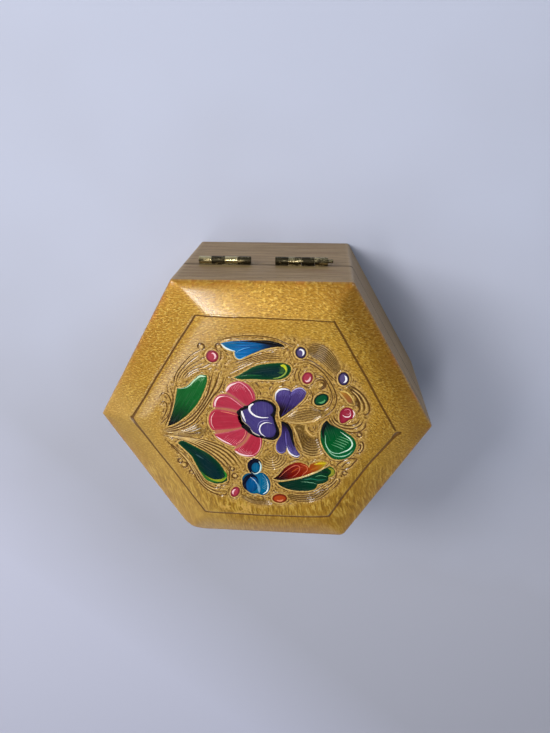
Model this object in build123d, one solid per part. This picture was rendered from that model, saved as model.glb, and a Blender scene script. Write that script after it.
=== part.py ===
from build123d import *

import math
import os

# A hexagonal wooden trinket box with a hinged lid, standing on its bottom with the lid closed.
# Lengths are in millimetres. Z is up, the hinges are on the +Y side and the front is at -Y.
# The origin is the middle of the underside.

# Outline. Cut by hand, some sides stand out a little beyond half the width across flats.
# The corners' rounding runs anticlockwise from the corner on +X. The two front corners are
# sanded rounder by hand than the rest.
across_flats = 100.0
side_offsets = {
    "back_right": 0.2,
    "back": 0.0,
    "back_left": 0.4,
    "front_left": 0.5,
    "front": 0.3,
    "front_right": 1.0,
}
wall_thickness = 6.5
corner_rounding = (1.3, 1.5, 0.8, 0.6, 11.0, 3.5)

# Heights. The parting height is the middle of the gap between base and lid.
parting_height = 34.7
parting_gap = 0.2
rim_height = 15.6
panel_edge_height = 3.6
bevel_rise = 3.8

# Width of the bevel along each side of the lid. Shaped by hand, they differ, so the mitre
# ridges between them don't all run to the middle.
bevel_widths = {
    "back_right": 15.2,
    "back": 15.5,
    "back_left": 21.4,
    "front_left": 20.5,
    "front": 18.3,
    "front_right": 21.0,
}

# Bottom panel, let into a rebate in the walls
bottom_thickness = 4.0
bottom_rebate = 3.0

# Sanded arrises
foot_rounding = 0.5
parting_chamfer = 0.25
panel_edge_rounding = 0.7
panel_edge_lean = 0.2

# Hinges: two small brass butts whose leaves lie in mortises in the base and lid rims
hinge_places = {"left": -14.6, "right": 11.9}
pin_overhangs = {"left": 0.0, "right": 1.8}
hinge_length = 18.0
knuckle_count = 4
knuckle_gap = 0.15
barrel_radius = 1.3
barrel_to_wall = 0.25
leaf_thickness = 0.6
leaf_reach = 5.0
leaf_corner_rounding = 0.8
swage_rounding = 0.35
roll_slit = 0.12
pin_clearance = 0.05
pin_end_chamfer = 0.15
mortise_clearance = 0.15

# Brads: two to a leaf, blunt, with heads sunk flush with it
brad_spacing = 11.0
brad_length = 6.5
brad_shank_radius = 0.45
brad_head_radius = 0.9
brad_clearance = 0.02

# Worked out from the sizes above
side_reach = {side: across_flats / 2 + offset for side, offset in side_offsets.items()}
base_top = parting_height - parting_gap / 2
rim_bottom = parting_height + parting_gap / 2
rim_top = rim_bottom + rim_height
panel_thickness = panel_edge_height + bevel_rise
hinge_axis_y = side_reach["back"] + barrel_to_wall + barrel_radius
leaf_face = parting_gap / 2
wall_face = side_reach["back"] - hinge_axis_y
bore_radius = barrel_radius - leaf_thickness
pin_radius = bore_radius - pin_clearance
knuckle_pitch = hinge_length / knuckle_count

# The sides in order, anticlockwise from the corner on +X
SIDES = tuple(side_offsets)
FAR = 2 * across_flats


def corners(inset=0.0):
    """Where the sides meet once all are moved in by the inset, anticlockwise from +X."""
    points = []
    for k in range(6):
        before = side_reach[SIDES[k - 1]] - inset
        after = side_reach[SIDES[k]] - inset
        out = (before + after) / 2 / math.cos(math.radians(30))
        points.append(Vector(out, after - before).rotate(Axis.Z, 60 * k))
    return points


def hexagon(inset=0.0):
    return make_face(Polyline(*corners(inset), close=True))


def outline():
    """The box's outline, with each upright corner rounded by its own radius."""
    face = hexagon()
    for point, radius in zip(corners(), corner_rounding):
        corner = face.vertices().sort_by_distance(point)[0]
        face = fillet(corner, radius)
    return face


def boards(ring):
    """The ring's six boards, parted by the mitres at its corners."""
    near, far = corners(2 * wall_thickness), corners(-FAR)
    parts = {}
    for k, side in enumerate(SIDES):
        after = (k + 1) % 6
        wedge = make_face(Polyline(near[k], far[k], far[after], near[after], close=True))
        parts[side] = ring & (Pos(0, 0, -FAR / 2) * extrude(wedge, FAR))
    return parts


def base_ring():
    """The base walls in one, rounded at the foot and rebated for the bottom panel."""
    ring = extrude(outline(), base_top)
    ring = fillet(ring.edges().group_by(Axis.Z)[0], foot_rounding)
    ring = chamfer(ring.edges().group_by(Axis.Z)[-1], parting_chamfer)
    ring -= extrude(hexagon(wall_thickness), base_top)
    return ring - extrude(hexagon(wall_thickness - bottom_rebate), bottom_thickness)


def bottom_panel():
    return extrude(hexagon(wall_thickness - bottom_rebate), bottom_thickness)


def rim_ring():
    """The lid's rim boards in one."""
    ring = extrude(outline(), rim_height)
    ring = chamfer(ring.edges().group_by(Axis.Z)[0], parting_chamfer)
    ring -= extrude(hexagon(wall_thickness), rim_height)
    return Pos(0, 0, rim_bottom) * ring


def bevelled_slab(reach, bevel_width):
    """A slab with the bevel that one side of the lid panel has, for a side on +Y.

    The bevel is an arc that meets the level top at a tangent. Below the bevel's rounded
    edge the slab leans out past the box's outline, which alone bounds the panel there.
    """
    top = Vector(0, reach - bevel_width, panel_thickness)
    edge = Vector(0, reach, panel_edge_height)
    foot = edge + Vector(0, panel_edge_lean, -1) * (panel_edge_height + 1)
    run = [(0, -FAR, panel_thickness), (0, -FAR, foot.Z), foot, edge]
    bevel = TangentArc(top, edge, tangent=(0, 1, 0))
    face = make_face([Polyline(*run), bevel, Line(run[0], top)])
    arris = face.vertices().sort_by_distance(edge)[0]
    face = fillet(arris, panel_edge_rounding)
    return extrude(face, FAR, dir=(1, 0, 0), both=True)


def lid_panel():
    """The lid's top board: six bevels that meet in mitre ridges, cut to the outline."""
    panel = extrude(outline(), panel_thickness)
    for k, side in enumerate(SIDES):
        slab = bevelled_slab(side_reach[side], bevel_widths[side])
        panel &= Rot(0, 0, 60 * (k - 1)) * slab
    return Pos(0, 0, rim_top) * panel


def brad(clearance=0.0):
    """A brad driven down from the leaf's face at z = 0, or the hole for one."""
    shank = brad_shank_radius + clearance
    head = brad_head_radius + clearance
    sink = head - shank
    tip = -brad_length - clearance
    half = [(0, 0, 0), (head, 0, 0), (shank, 0, -sink), (shank, 0, tip), (0, 0, tip)]
    return revolve(make_face(Polyline(*half, close=True)), Axis.Z)


def on_leaf(part):
    """Copies of a part at a leaf's two brads, in the hinge's own frame."""
    y = wall_face - leaf_reach / 2
    places = [(-brad_spacing / 2, y, -leaf_face), (brad_spacing / 2, y, -leaf_face)]
    return [Pos(*place) * part for place in places]


def knuckle_profile():
    """A leaf's section through a knuckle: flat sheet rolled round the pin.

    The hinge axis is the origin, and the sheet comes in from -Y below it.
    """
    drop = leaf_face + leaf_thickness
    sheet = Rectangle(-wall_face, leaf_thickness, align=(Align.MAX, Align.MIN))
    section = Circle(barrel_radius) + Pos(0, -drop) * sheet
    crease = Vector(-math.sqrt(barrel_radius**2 - drop**2), -drop)
    section = fillet(section.vertices().sort_by_distance(crease)[0], swage_rounding)
    section -= Circle(bore_radius)
    slit = Rectangle(barrel_radius, roll_slit, align=(Align.MAX, Align.MIN))
    return Plane.YZ * (section - Pos(-bore_radius / 2, -leaf_face) * slit)


def leaf(first_knuckle):
    """A hinge leaf below its axis, with every second knuckle from the given one."""
    plate = Pos(0, wall_face - leaf_reach / 2) * Rectangle(hinge_length, leaf_reach)
    inner = plate.vertices().group_by(Axis.Y)[0]
    plate = fillet(inner, leaf_corner_rounding)
    sheet = Pos(0, 0, -leaf_face - leaf_thickness) * extrude(plate, leaf_thickness)
    for k in range(first_knuckle, knuckle_count, 2):
        start = -hinge_length / 2 + k * knuckle_pitch
        end = start + knuckle_pitch
        start += knuckle_gap / 2 if k else 0
        end -= knuckle_gap / 2 if k < knuckle_count - 1 else 0
        sheet += Pos(start, 0, 0) * extrude(knuckle_profile(), end - start, dir=(1, 0, 0))
    for hole in on_leaf(brad(brad_clearance)):
        sheet -= hole
    return sheet


def pin(overhang):
    """A hinge pin, whose +X end stands out of the barrel by the overhang."""
    length = hinge_length + overhang
    rod = Cylinder(pin_radius, length, rotation=(0, 90, 0))
    rod = chamfer(rod.edges().group_by(Axis.X)[0], pin_end_chamfer)
    rod = chamfer(rod.edges().group_by(Axis.X)[-1], pin_end_chamfer)
    return Pos(overhang / 2, 0, 0) * rod


def mortise():
    """What a rim loses to a leaf, and to the holes for its brads."""
    length = hinge_length + 2 * mortise_clearance
    inner_end = wall_face - leaf_reach - mortise_clearance
    pocket = Box(length, FAR, FAR, align=(Align.CENTER, Align.MIN, Align.MIN))
    pocket = Pos(0, inner_end, -leaf_face - leaf_thickness) * pocket
    for hole in on_leaf(brad(brad_clearance)):
        pocket += hole
    return pocket


def turned_over(part):
    """A part of the base's leaf, mirrored about the hinge axis to serve the lid's."""
    return mirror(part, Plane.XY)


def build():
    """Every piece of the box by name."""
    base, rim = base_ring(), rim_ring()
    pieces = {"bottom_panel": bottom_panel(), "lid_panel": lid_panel()}
    base_brads, lid_brads = [], []
    for name, x in hinge_places.items():
        place = Pos(x, hinge_axis_y, parting_height)
        base -= place * mortise()
        rim -= place * turned_over(mortise())
        pieces[f"{name}_hinge_base_leaf"] = place * leaf(0)
        pieces[f"{name}_hinge_lid_leaf"] = place * turned_over(leaf(1))
        pieces[f"{name}_hinge_pin"] = place * pin(pin_overhangs[name])
        base_brads += [place * part for part in on_leaf(brad())]
        lid_brads += [place * turned_over(part) for part in on_leaf(brad())]
    pieces["base_hinge_brads"] = Compound(base_brads)
    pieces["lid_hinge_brads"] = Compound(lid_brads)
    for side, board in boards(base).items():
        pieces[f"base_wall_{side}"] = board
    for side, board in boards(rim).items():
        pieces[f"lid_rim_{side}"] = board
    return pieces


os.makedirs("parts", exist_ok=True)
for name, piece in build().items():
    export_step(piece, f"parts/{name}.step")
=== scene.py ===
import math
import random

import bpy
import numpy as np
from mathutils import Matrix, Vector
from mathutils.geometry import delaunay_2d_cdt
from mathutils.kdtree import KDTree


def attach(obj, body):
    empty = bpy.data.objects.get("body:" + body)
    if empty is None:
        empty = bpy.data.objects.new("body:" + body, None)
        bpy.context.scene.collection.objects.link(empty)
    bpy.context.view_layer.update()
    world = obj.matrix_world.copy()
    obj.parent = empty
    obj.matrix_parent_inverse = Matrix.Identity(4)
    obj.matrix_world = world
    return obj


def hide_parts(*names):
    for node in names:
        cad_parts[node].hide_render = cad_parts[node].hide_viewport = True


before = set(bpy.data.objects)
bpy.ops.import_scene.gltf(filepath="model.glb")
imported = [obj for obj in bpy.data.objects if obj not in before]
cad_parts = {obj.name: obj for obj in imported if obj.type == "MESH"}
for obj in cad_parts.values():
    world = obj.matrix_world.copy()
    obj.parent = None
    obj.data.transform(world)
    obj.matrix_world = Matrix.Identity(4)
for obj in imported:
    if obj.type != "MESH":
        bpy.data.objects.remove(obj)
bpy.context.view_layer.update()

# Lengths in this script are in millimetres until a mesh or lamp is made. The frame is the
# model's own: Z up, hinges on +Y, front at -Y.
MM = 0.001

# The lid panel, as the CAD model has it. Its sides run anticlockwise from the back right one.
SIDE_REACH = (50.2, 50.0, 50.4, 50.5, 50.3, 51.0)
CORNER_ROUNDING = (1.3, 1.5, 0.8, 0.6, 11.0, 3.5)
BEVEL_WIDTHS = (15.2, 15.5, 21.4, 20.5, 18.3, 21.0)
BEVEL_RISE = 3.8
PARTING = 34.7
PANEL_BOTTOM = 50.4
PANEL_EDGE = 54.0
HINGE_SPANS = ((-23.6, -5.6), (2.9, 20.9))
# The height of the painted shadow and reflection of the brass on the back wall
HINGE_SHADOW_HEIGHT = 37.4

# The lid panel's softer shapes, which only this script has
RIDGE_SOFTNESS = 0.36
ARRIS_ROUNDING = 0.75
SEAM_DEPTH = 0.12
PANEL_STEP = 0.8

# The angles that the arris rolls over by, and how many of its rows the lacquer covers
ARRIS_STEPS = (90, 67, 45, 22, 0)
LACQUERED_ROWS = 3

# The carving: how far the glazed ground and a cut reach at most, how soft a zone's rim is,
# the width of the cuts round the paint, the stain in the frame, and the random strokes
GROUND_REACH = 1.5
WIDEST_HALF = 0.8
ZONE_SOFTNESS = 0.5
TRIM_WIDTH = 0.44
FRAME_STAIN = 1.15
STIPPLE_TRIES = 4200
STIPPLE_GAPS = (0.5, 3.0)

# The hexagon that frames the carving, cut freehand, so that its corners miss a little
FRAME_CORNERS = {
    "left": (-46.4, 0.2),
    "upper_left": (-21.4, 39.1),
    "upper_right": (23.4, 38.1),
    "right": (45.4, -0.8),
    "right_again": (46.2, -2.6),
    "lower_right": (24.0, -39.2),
    "lower_left": (-22.2, -39.3),
}

# Enamel: how high and how far from its rim a patch domes, and how deep its rim is sunk
DOME = 0.09
DOME_RUN = 0.5
SUNK = 0.1

BLACK = (14, 12, 16)
WHITE = (246, 242, 244)
FLOOR_REACH = 3000.0

chance = random.Random(11)

# What the carving is made of: each cut's line, half widths, depths, stain and paleness (bare wood
# and painted highlight), the rims of the painted shapes, and the parts under an olive glaze
cuts = []
outlines = []
zones = []


def srgb(red, green, blue):
    """A linear colour from the usual 0 to 255 values."""
    parts = [c / 255 for c in (red, green, blue)]
    linear = [((c + 0.055) / 1.055) ** 2.4 if c > 0.04045 else c / 12.92 for c in parts]
    return (*linear, 1.0)


class Value:
    """The output of a node, which can be reckoned with."""

    def __init__(self, nodes, socket):
        self.nodes, self.socket = nodes, socket

    def __add__(self, other):
        return self.nodes.math("ADD", self, other)

    def __sub__(self, other):
        return self.nodes.math("SUBTRACT", self, other)

    def __rsub__(self, other):
        return self.nodes.math("SUBTRACT", other, self)

    def __mul__(self, other):
        return self.nodes.math("MULTIPLY", self, other)

    def __abs__(self):
        return self.nodes.math("ABSOLUTE", self)


class Nodes:
    """A node tree, with short ways to write its nodes."""

    def __init__(self, tree):
        self.tree = tree

    def node(self, kind, inputs=None, **settings):
        made = self.tree.nodes.new("ShaderNode" + kind)
        for name, value in settings.items():
            setattr(made, name, value)
        for socket, value in (inputs or {}).items():
            self.feed(made.inputs[socket], value)
        return made

    def value(self, kind, inputs=None, output=0, **settings):
        return Value(self, self.node(kind, inputs, **settings).outputs[output])

    def feed(self, socket, value):
        if isinstance(value, Value):
            self.tree.links.new(value.socket, socket)
        else:
            socket.default_value = value

    def math(self, operation, a, b=0.0):
        return self.value("Math", {0: a, 1: b}, operation=operation)

    def dot(self, a, b):
        return self.value("VectorMath", {0: a, 1: b}, "Value", operation="DOT_PRODUCT")

    def split(self, vector):
        return [Value(self, socket) for socket in self.node("SeparateXYZ", {0: vector}).outputs]

    def noise(self, place, scale, detail, roughness=0.5):
        inputs = {"Vector": place, "Scale": scale, "Detail": detail, "Roughness": roughness}
        return self.value("TexNoise", inputs, "Fac")

    def grain(self, x, y, z, detail, roughness=0.5):
        """Noise that is stretched along the grain by what its three places are multiplied by."""
        return self.noise(self.value("CombineXYZ", {0: x, 1: y, 2: z}), 1.0, detail, roughness)

    def span(self, value, low, high, to_low=0.0, to_high=1.0):
        """The value's run from low to high, as a run from to_low to to_high, clamped."""
        return self.value("MapRange", {0: value, 1: low, 2: high, 3: to_low, 4: to_high})

    def mix(self, share, a, b):
        made = self.node("Mix", data_type="RGBA")
        for index, value in ((0, share), (6, a), (7, b)):
            self.feed(made.inputs[index], value)
        return Value(self, made.outputs[2])

    def attribute(self, name, output="Fac"):
        return self.value("Attribute", {}, output, attribute_name=name)


class Shader(Nodes):
    """A material, whose colour is built up tint by tint. Places are in millimetres."""

    def __init__(self, name, **constants):
        self.material = bpy.data.materials.new(name)
        self.material.use_nodes = True
        super().__init__(self.material.node_tree)
        self.surface = self.tree.nodes["Principled BSDF"]
        for socket, value in constants.items():
            self.surface.inputs[socket.replace("_", " ")].default_value = value
        place = self.value("TexCoord", {}, "Object")
        self.place = self.value("VectorMath", {0: place, "Scale": 1 / MM}, operation="SCALE")

    def set(self, socket, value):
        self.feed(self.surface.inputs[socket], value)

    def mottle(self, scale, detail, low, high, to_low=0.0, to_high=1.0, roughness=0.5):
        """Cloudy noise over the place, with its run from low to high spread over another."""
        return self.span(self.noise(self.place, scale, detail, roughness), low, high, to_low, to_high)

    def start(self, share, first, second):
        """Begins the colour as a blend of two, given in 0 to 255 values."""
        self.colour = self.mix(share, srgb(*first), srgb(*second))

    def tint(self, share, red, green, blue):
        """Lays a colour, given in 0 to 255 values, over a share of the colour so far."""
        self.colour = self.mix(share, self.colour, srgb(red, green, blue))

    def bump(self, height, distance):
        inputs = {"Height": height, "Distance": distance * MM, "Strength": 1.0}
        self.set("Normal", self.value("Bump", inputs))

    def turned(self, degrees):
        """The place with its axes turned about Z, so that a board lies along X."""
        x, y = heading(degrees)
        return [self.dot(self.place, axis) for axis in ((x, y, 0.0), (-y, x, 0.0), (0.0, 0.0, 1.0))]


def heading(degrees):
    """The direction that lies so far round from +X."""
    return np.array([math.cos(math.radians(degrees)), math.sin(math.radians(degrees))])


def left_of(way):
    return np.array([-way[1], way[0]])


def lid_wood():
    """Golden lacquer over wood with a dense figure of short crisp flecks, whose pale and dark colour is
    partly the figure's own and partly painted highlight and shade.

    The flecks follow wide arcs across the board. Towards the front they give way to longer
    lines along the grain. Vertex values say how far a point is from the lid's edge, and
    where it is stained, pale with bare wood and painted highlight, or in the ground of the carving.
    """
    s = Shader("gold_lacquered_wood", Coat_Weight=0.9, Coat_Roughness=0.16, Specular_IOR_Level=0.2)
    x, y, z = s.split(s.place)
    depth = z * 0.5

    # Waviness, shared by both figures
    sway = s.mottle(0.05, 2.0, 0.2, 0.8, -1.6, 1.6)
    ripple = s.mottle(0.5, 2.0, 0.2, 0.8, -0.16, 0.16)

    # Flecks along arcs about a point far in front of the box, the pale ones partly painted highlight and the
    # dark ones partly painted shade of the fibres' shimmer
    far_front = 112.0
    dx, dy = x - 4.0, y + far_front
    radius = s.math("SQRT", dx * dx + dy * dy) + sway + (ripple + depth)
    along = s.math("ARCTAN2", dx, dy) * far_front
    dark_flecks = s.span(s.grain(along * 1.15, radius * 2.7, 0.0, 1.0, 0.6), 0.5, 0.62)
    lit_flecks = s.span(s.grain(along * 1.1, radius * 2.3, 9.0, 1.0, 0.6), 0.52, 0.64)

    # Darker dashes among them at the right, running down to the right
    dashes = s.grain(x * 0.54 - y * 0.32, x * 1.05 + radius * 1.95, 0.0, 1.0)
    dashes = s.span(dashes, 0.56, 0.63) * s.span(x + sway * 4.0, 4.0, 30.0)
    grit = s.mottle(2.4, 1.0, 0.35, 0.7)
    calm = s.mottle(0.07, 2.0, 0.36, 0.62, 0.6, 1.0)

    # Long wavy lines towards the front, and where they give way to the flecks
    lines = s.grain((x + (sway * 1.2 + ripple * 1.6) + y * 0.2) * 1.7, y * 0.3, depth, 2.0)
    plainer = s.span(y, -33.0, -42.0, 0.95, 0.5)
    front = s.span(y + abs(x) * -0.22 + sway * 3.0, -17.0, -36.0)
    back = 1.0 - front
    dark = back * s.math("MAXIMUM", dark_flecks, dashes) + front * (s.span(lines, 0.53, 0.6) * plainer)
    lit = back * lit_flecks + front * (s.span(lines, 0.46, 0.38) * plainer)

    s.start(s.mottle(0.05, 3.0, 0.3, 0.7), (196, 150, 50), (180, 131, 34))
    s.tint(s.mottle(0.28, 2.0, 0.35, 0.65, 0.0, 0.3), 160, 108, 24)
    s.tint(dark * calm * 0.74, 112, 72, 10)
    s.tint(lit * calm * 0.62, 246, 210, 104)
    s.tint(back * dashes * 0.36, 92, 56, 8)
    s.tint(grit * 0.14, 226, 184, 78)

    # Painted shade, browner, on the two upper side bevels, and painted light, paler, on the lower
    # left bevel and towards the right corner
    for way_x, way_y, start, end, share, tint in (
        (-0.866, 0.5, 30.0, 39.0, 0.3, (112, 78, 16)),
        (0.866, 0.5, 40.5, 46.5, 0.5, (120, 78, 8)),
        (-0.866, -0.5, 28.0, 42.0, 0.3, (230, 194, 120)),
        (0.966, -0.26, 40.0, 46.0, 0.14, (214, 176, 96)),
    ):
        s.tint(s.span(x * way_x + y * way_y + sway * 1.5, start, end, 0.0, share), *tint)

    # Pale blotches of figure on the field towards the front
    off_x, off_y = (x + 9.0) * 0.36, y + 36.4
    blotches = s.span(off_x * off_x + off_y * off_y, 14.0, 4.0) * s.mottle(0.55, 1.0, 0.5, 0.6)
    s.tint(blotches * 0.6, 250, 200, 104)

    # Deeper amber and an orange tint where the lacquer gathers at the edges
    edge = s.attribute("edge_distance")
    s.tint(s.span(edge, 8.0, 0.0) * s.mottle(0.12, 2.0, 0.25, 0.7, 0.3, 1.0) * 0.4, 146, 94, 20)
    s.tint(s.span(edge, 2.2, 0.3) * s.mottle(0.2, 2.0, 0.5, 0.68) * 0.4, 172, 84, 24)

    # The carving: a patchy glaze on its ground, an olive one on the plumes, stain in the
    # cuts, and pale lines of bare wood and painted highlight on the ridges and beside the paint
    patches = s.mottle(1.25, 3.0, 0.41, 0.57, roughness=0.6)
    glaze = s.attribute("ground") * 0.72
    s.colour = s.mix(glaze, s.colour, s.mix(patches, srgb(212, 172, 94), srgb(144, 106, 44)))
    s.tint(s.attribute("zone") * s.span(patches, 0.0, 1.0, 0.72, 1.0), 98, 70, 16)
    stain = s.span(s.attribute("stain"), 0.06, 0.5)
    s.tint(stain * 0.9, 84, 48, 0)
    # Pale lines of bare wood, partly painted highlight on the raised ridges and edges
    bare_and_sheen = s.span(s.attribute("bare_and_sheen"), 0.06, 0.5)
    s.tint(bare_and_sheen * s.mottle(0.3, 2.0, 0.36, 0.6, 0.5, 0.9), 232, 194, 118)
    s.set("Base Color", s.colour)

    # Lacquered fibres shine in the wood's own colour; glaze and stain dull them
    dull = s.math("MAXIMUM", glaze * 0.6, stain * 0.9)
    s.set("Metallic", s.span(dull, 0.0, 1.0, 0.36, 0.0))
    s.set("Roughness", s.mottle(0.35, 3.0, 0.3, 0.7, 0.36, 0.46) + stain * 0.3)
    s.bump(lit * 0.6 - dark * 0.6 + grit * 0.4 - glaze * patches, 0.05)
    return s.material


def wall_wood(side):
    """Taupe stained boards with grain along them, bare on their inner faces.

    Rim and base boards of one side were one board, so the grain runs across the parting.
    """
    s = Shader(f"taupe_wood_{side}", Specular_IOR_Level=0.35)
    along, out, z = s.turned(60 * side - 60)
    seed = 37.0 * side
    across = z + s.mottle(0.02, 2.0, 0.2, 0.8, -2.4, 2.4) + out * 0.6
    streaks = s.grain(along * 0.035, across * 0.55, seed, 4.0, 0.6)
    fine = s.grain(along * 0.12, across * 2.6, seed, 3.0)
    pores = s.span(s.grain(along * 0.4, across * 5.5, seed, 1.0), 0.6, 0.72)

    s.start(s.span(streaks, 0.36, 0.62), (154, 130, 96), (122, 99, 67))
    s.tint(s.span(streaks, 0.56, 0.68, 0.0, 0.5), 150, 114, 88)
    s.tint(s.span(fine, 0.35, 0.65, 0.0, 0.36), 124, 101, 62)
    s.tint(pores * 0.36, 66, 50, 34)

    # Paler along the arrises at the corners: painted highlight where the rounded edges catch the light
    s.tint(s.span(abs(along), 27.6, 28.9) * 0.35, 176, 158, 134)

    # Painted shade in and beside the joint between lid and base, and the glue line under the lid's board
    from_joint = abs(z - PARTING + s.mottle(0.4, 2.0, 0.3, 0.7, -0.08, 0.08))
    s.tint(s.span(from_joint, 0.48, 0.3), 44, 34, 24)
    s.tint(s.span(from_joint, 1.5, 0.4, 0.0, 0.3), 84, 66, 44)
    broken = s.span(s.grain(along * 0.4, 0.0, seed, 2.0), 0.45, 0.6)
    s.tint(s.span(abs(z - PANEL_BOTTOM), 0.28, 0.12) * broken * 0.6, 70, 54, 36)

    # A greenish painted shadow and reflection of the brass, just over each barrel on the back
    if side == 1:
        band = s.span(abs(z - HINGE_SHADOW_HEIGHT), 1.7, 0.5)
        for start, end in HINGE_SPANS:
            at_hinge = s.span(along, end + 0.8, end - 0.8) * s.span(along, start - 0.8, start + 0.8)
            s.tint(band * at_hinge * s.span(fine, 0.3, 0.6, 0.2, 0.6), 116, 100, 44)

    stained = s.colour
    s.start(s.span(streaks, 0.3, 0.7), (208, 174, 126), (184, 146, 98))
    s.tint(s.span(fine, 0.4, 0.7, 0.0, 0.4), 158, 120, 76)
    faded = out + s.span(fine, 0.3, 0.7, -0.25, 0.25)
    s.set("Base Color", s.mix(s.span(faded, 48.3, 48.7), s.colour, stained))
    s.set("Roughness", s.span(fine, 0.3, 0.7, 0.52, 0.68))
    s.bump(fine * 0.5 - pores, 0.04)
    return s.material


def inside_wood():
    """Plain sanded wood for the bottom and for the lid's underside."""
    s = Shader("plain_sanded_wood", Specular_IOR_Level=0.3)
    x, y, z = s.split(s.place)
    across = x + s.mottle(0.04, 2.0, 0.2, 0.8, -5.0, 5.0)
    rings = s.grain(across * 0.42, y * 0.03, z, 4.0, 0.6)
    fine = s.grain(across * 2.4, y * 0.16, z, 3.0)
    pores = s.span(s.grain(across * 5.0, y * 0.4, z, 1.0), 0.6, 0.72)
    s.start(s.span(rings, 0.32, 0.68), (214, 182, 134), (190, 152, 102))
    s.tint(s.span(fine, 0.4, 0.7, 0.0, 0.45), 166, 128, 82)
    s.tint(pores * 0.35, 112, 80, 46)
    s.set("Base Color", s.colour)
    s.set("Roughness", s.span(fine, 0.3, 0.7, 0.62, 0.78))
    s.bump(fine * 0.5 - pores, 0.04)
    return s.material


def brass(name, tarnish_and_reflection):
    """Thin brass that has gone nearly black in patches, which are partly tarnish and partly painted dark
    reflections.
    """
    s = Shader(name, Metallic=1.0)
    x, y, z = s.split(s.place)
    patches = s.noise(s.value("CombineXYZ", {0: x * 0.3, 1: y, 2: z}), 0.9, 3.0, 0.6)
    spots = s.noise(s.place, 2.6, 3.0, 0.7)
    scratches = s.grain(x * 0.5, y * 9.0, z * 9.0, 2.0)
    bright_limit = 0.62 - 0.3 * tarnish_and_reflection
    dark = s.span(patches * 0.7 + spots * 0.3, bright_limit, bright_limit + 0.1)
    s.start(s.span(scratches, 0.35, 0.7), (222, 208, 162), (150, 132, 84))
    s.tint(dark * 0.95, 34, 30, 22)
    s.set("Base Color", s.colour)
    s.set("Roughness", s.span(scratches, 0.3, 0.7, 0.2, 0.36) + dark * 0.25)
    s.bump(scratches * 0.5 + spots, 0.03)
    return s.material


def enamel(name, streakiness):
    """Thick glossy paint in the colours that its vertices carry, with the brush's streaks."""
    s = Shader(name, Coat_Weight=0.16, Coat_Roughness=0.1, Specular_IOR_Level=0.1)
    along, across, seed = s.split(s.attribute("brush", "Vector"))
    streaks = s.grain(along * 0.16, across * 2.6, seed, 2.0)
    pools = s.noise(s.place, 0.6, 2.0)
    s.colour = s.attribute("paint", "Color")
    s.tint(s.span(streaks, 0.32, 0.5, streakiness, 0.0), 0, 0, 0)
    s.tint(s.span(streaks, 0.56, 0.72, 0.0, streakiness * 0.16), 255, 255, 255)
    s.tint(s.span(pools, 0.35, 0.7, 0.0, 0.12), 0, 0, 0)
    s.set("Base Color", s.colour)
    s.set("Roughness", s.span(pools, 0.3, 0.7, 0.24, 0.4))
    s.bump(streaks, 0.03)
    return s.material


def lid_height(points):
    """The lid's height at each point, with its six bevels and softened ridges."""
    points = np.asarray(points, float).reshape(-1, 2)
    total = None
    for k, width in enumerate(BEVEL_WIDTHS):
        inside = SIDE_REACH[k] - points @ heading(30 + 60 * k)
        radius = (width**2 + BEVEL_RISE**2) / (2 * BEVEL_RISE)
        run = np.clip(width - inside, 0, None)
        height = BEVEL_RISE - (radius - np.sqrt(radius**2 - run**2))
        if total is None:
            total = height
        else:
            near = np.clip(RIDGE_SOFTNESS - np.abs(total - height), 0, None) / RIDGE_SOFTNESS
            total = np.minimum(total, height) - near**2 * RIDGE_SOFTNESS / 4
    return PANEL_EDGE + total


def box_outline(step):
    """Points and outward directions round the box, anticlockwise from the corner on +X."""
    points, outward = [], []
    for k, rounding in enumerate(CORNER_ROUNDING):
        ahead = heading(60 * k)
        to_corner = (SIDE_REACH[k - 1] + SIDE_REACH[k]) / 2 / math.cos(math.radians(30))
        to_centre = to_corner - rounding / math.sin(math.radians(60))
        off_axis = SIDE_REACH[k] - SIDE_REACH[k - 1]
        centre = ahead * to_centre + left_of(ahead) * off_axis
        bends = max(4, round(rounding / step) * 2)
        for bend in np.linspace(60 * k - 30, 60 * k + 30, bends + 1):
            points.append(centre + heading(bend) * rounding)
            outward.append(heading(bend))
    full, full_out = [], []
    for i, (start, direction) in enumerate(zip(points, outward)):
        end, next_direction = points[(i + 1) % len(points)], outward[(i + 1) % len(points)]
        pieces = max(1, round(np.linalg.norm(end - start) / step))
        for j in range(pieces):
            full.append(start + (end - start) * j / pieces)
            mixed = direction + (next_direction - direction) * j / pieces
            full_out.append(mixed / np.linalg.norm(mixed))
    return np.array(full), np.array(full_out)


def distance_to(line, points, closed=False):
    """The distance from each point to a line of points."""
    line = np.asarray(line, float)
    start = line if closed else line[:-1]
    end = np.roll(line, -1, axis=0) if closed else line[1:]
    best = np.full(len(points), np.inf)
    for a, b in zip(start, end):
        run = b - a
        share = np.clip((points - a) @ run / max(run @ run, 1e-12), 0, 1)
        best = np.minimum(best, np.linalg.norm(points - a - share[:, None] * run, axis=1))
    return best


def within(rim, points):
    """Which points are inside a closed rim."""
    inside = np.zeros(len(points), bool)
    for (ax, ay), (bx, by) in zip(rim, np.roll(rim, -1, axis=0)):
        crosses = (ay > points[:, 1]) != (by > points[:, 1])
        reach = ax + (points[:, 1] - ay) * (bx - ax) / (by - ay if by != ay else 1e-12)
        inside ^= crosses & (points[:, 0] < reach)
    return inside


def clear_inside(rim, points, gap):
    """The points inside a closed rim that are farther than the gap from it."""
    points = points[within(rim, points)]
    return points[distance_to(rim, points, closed=True) > gap]


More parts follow.
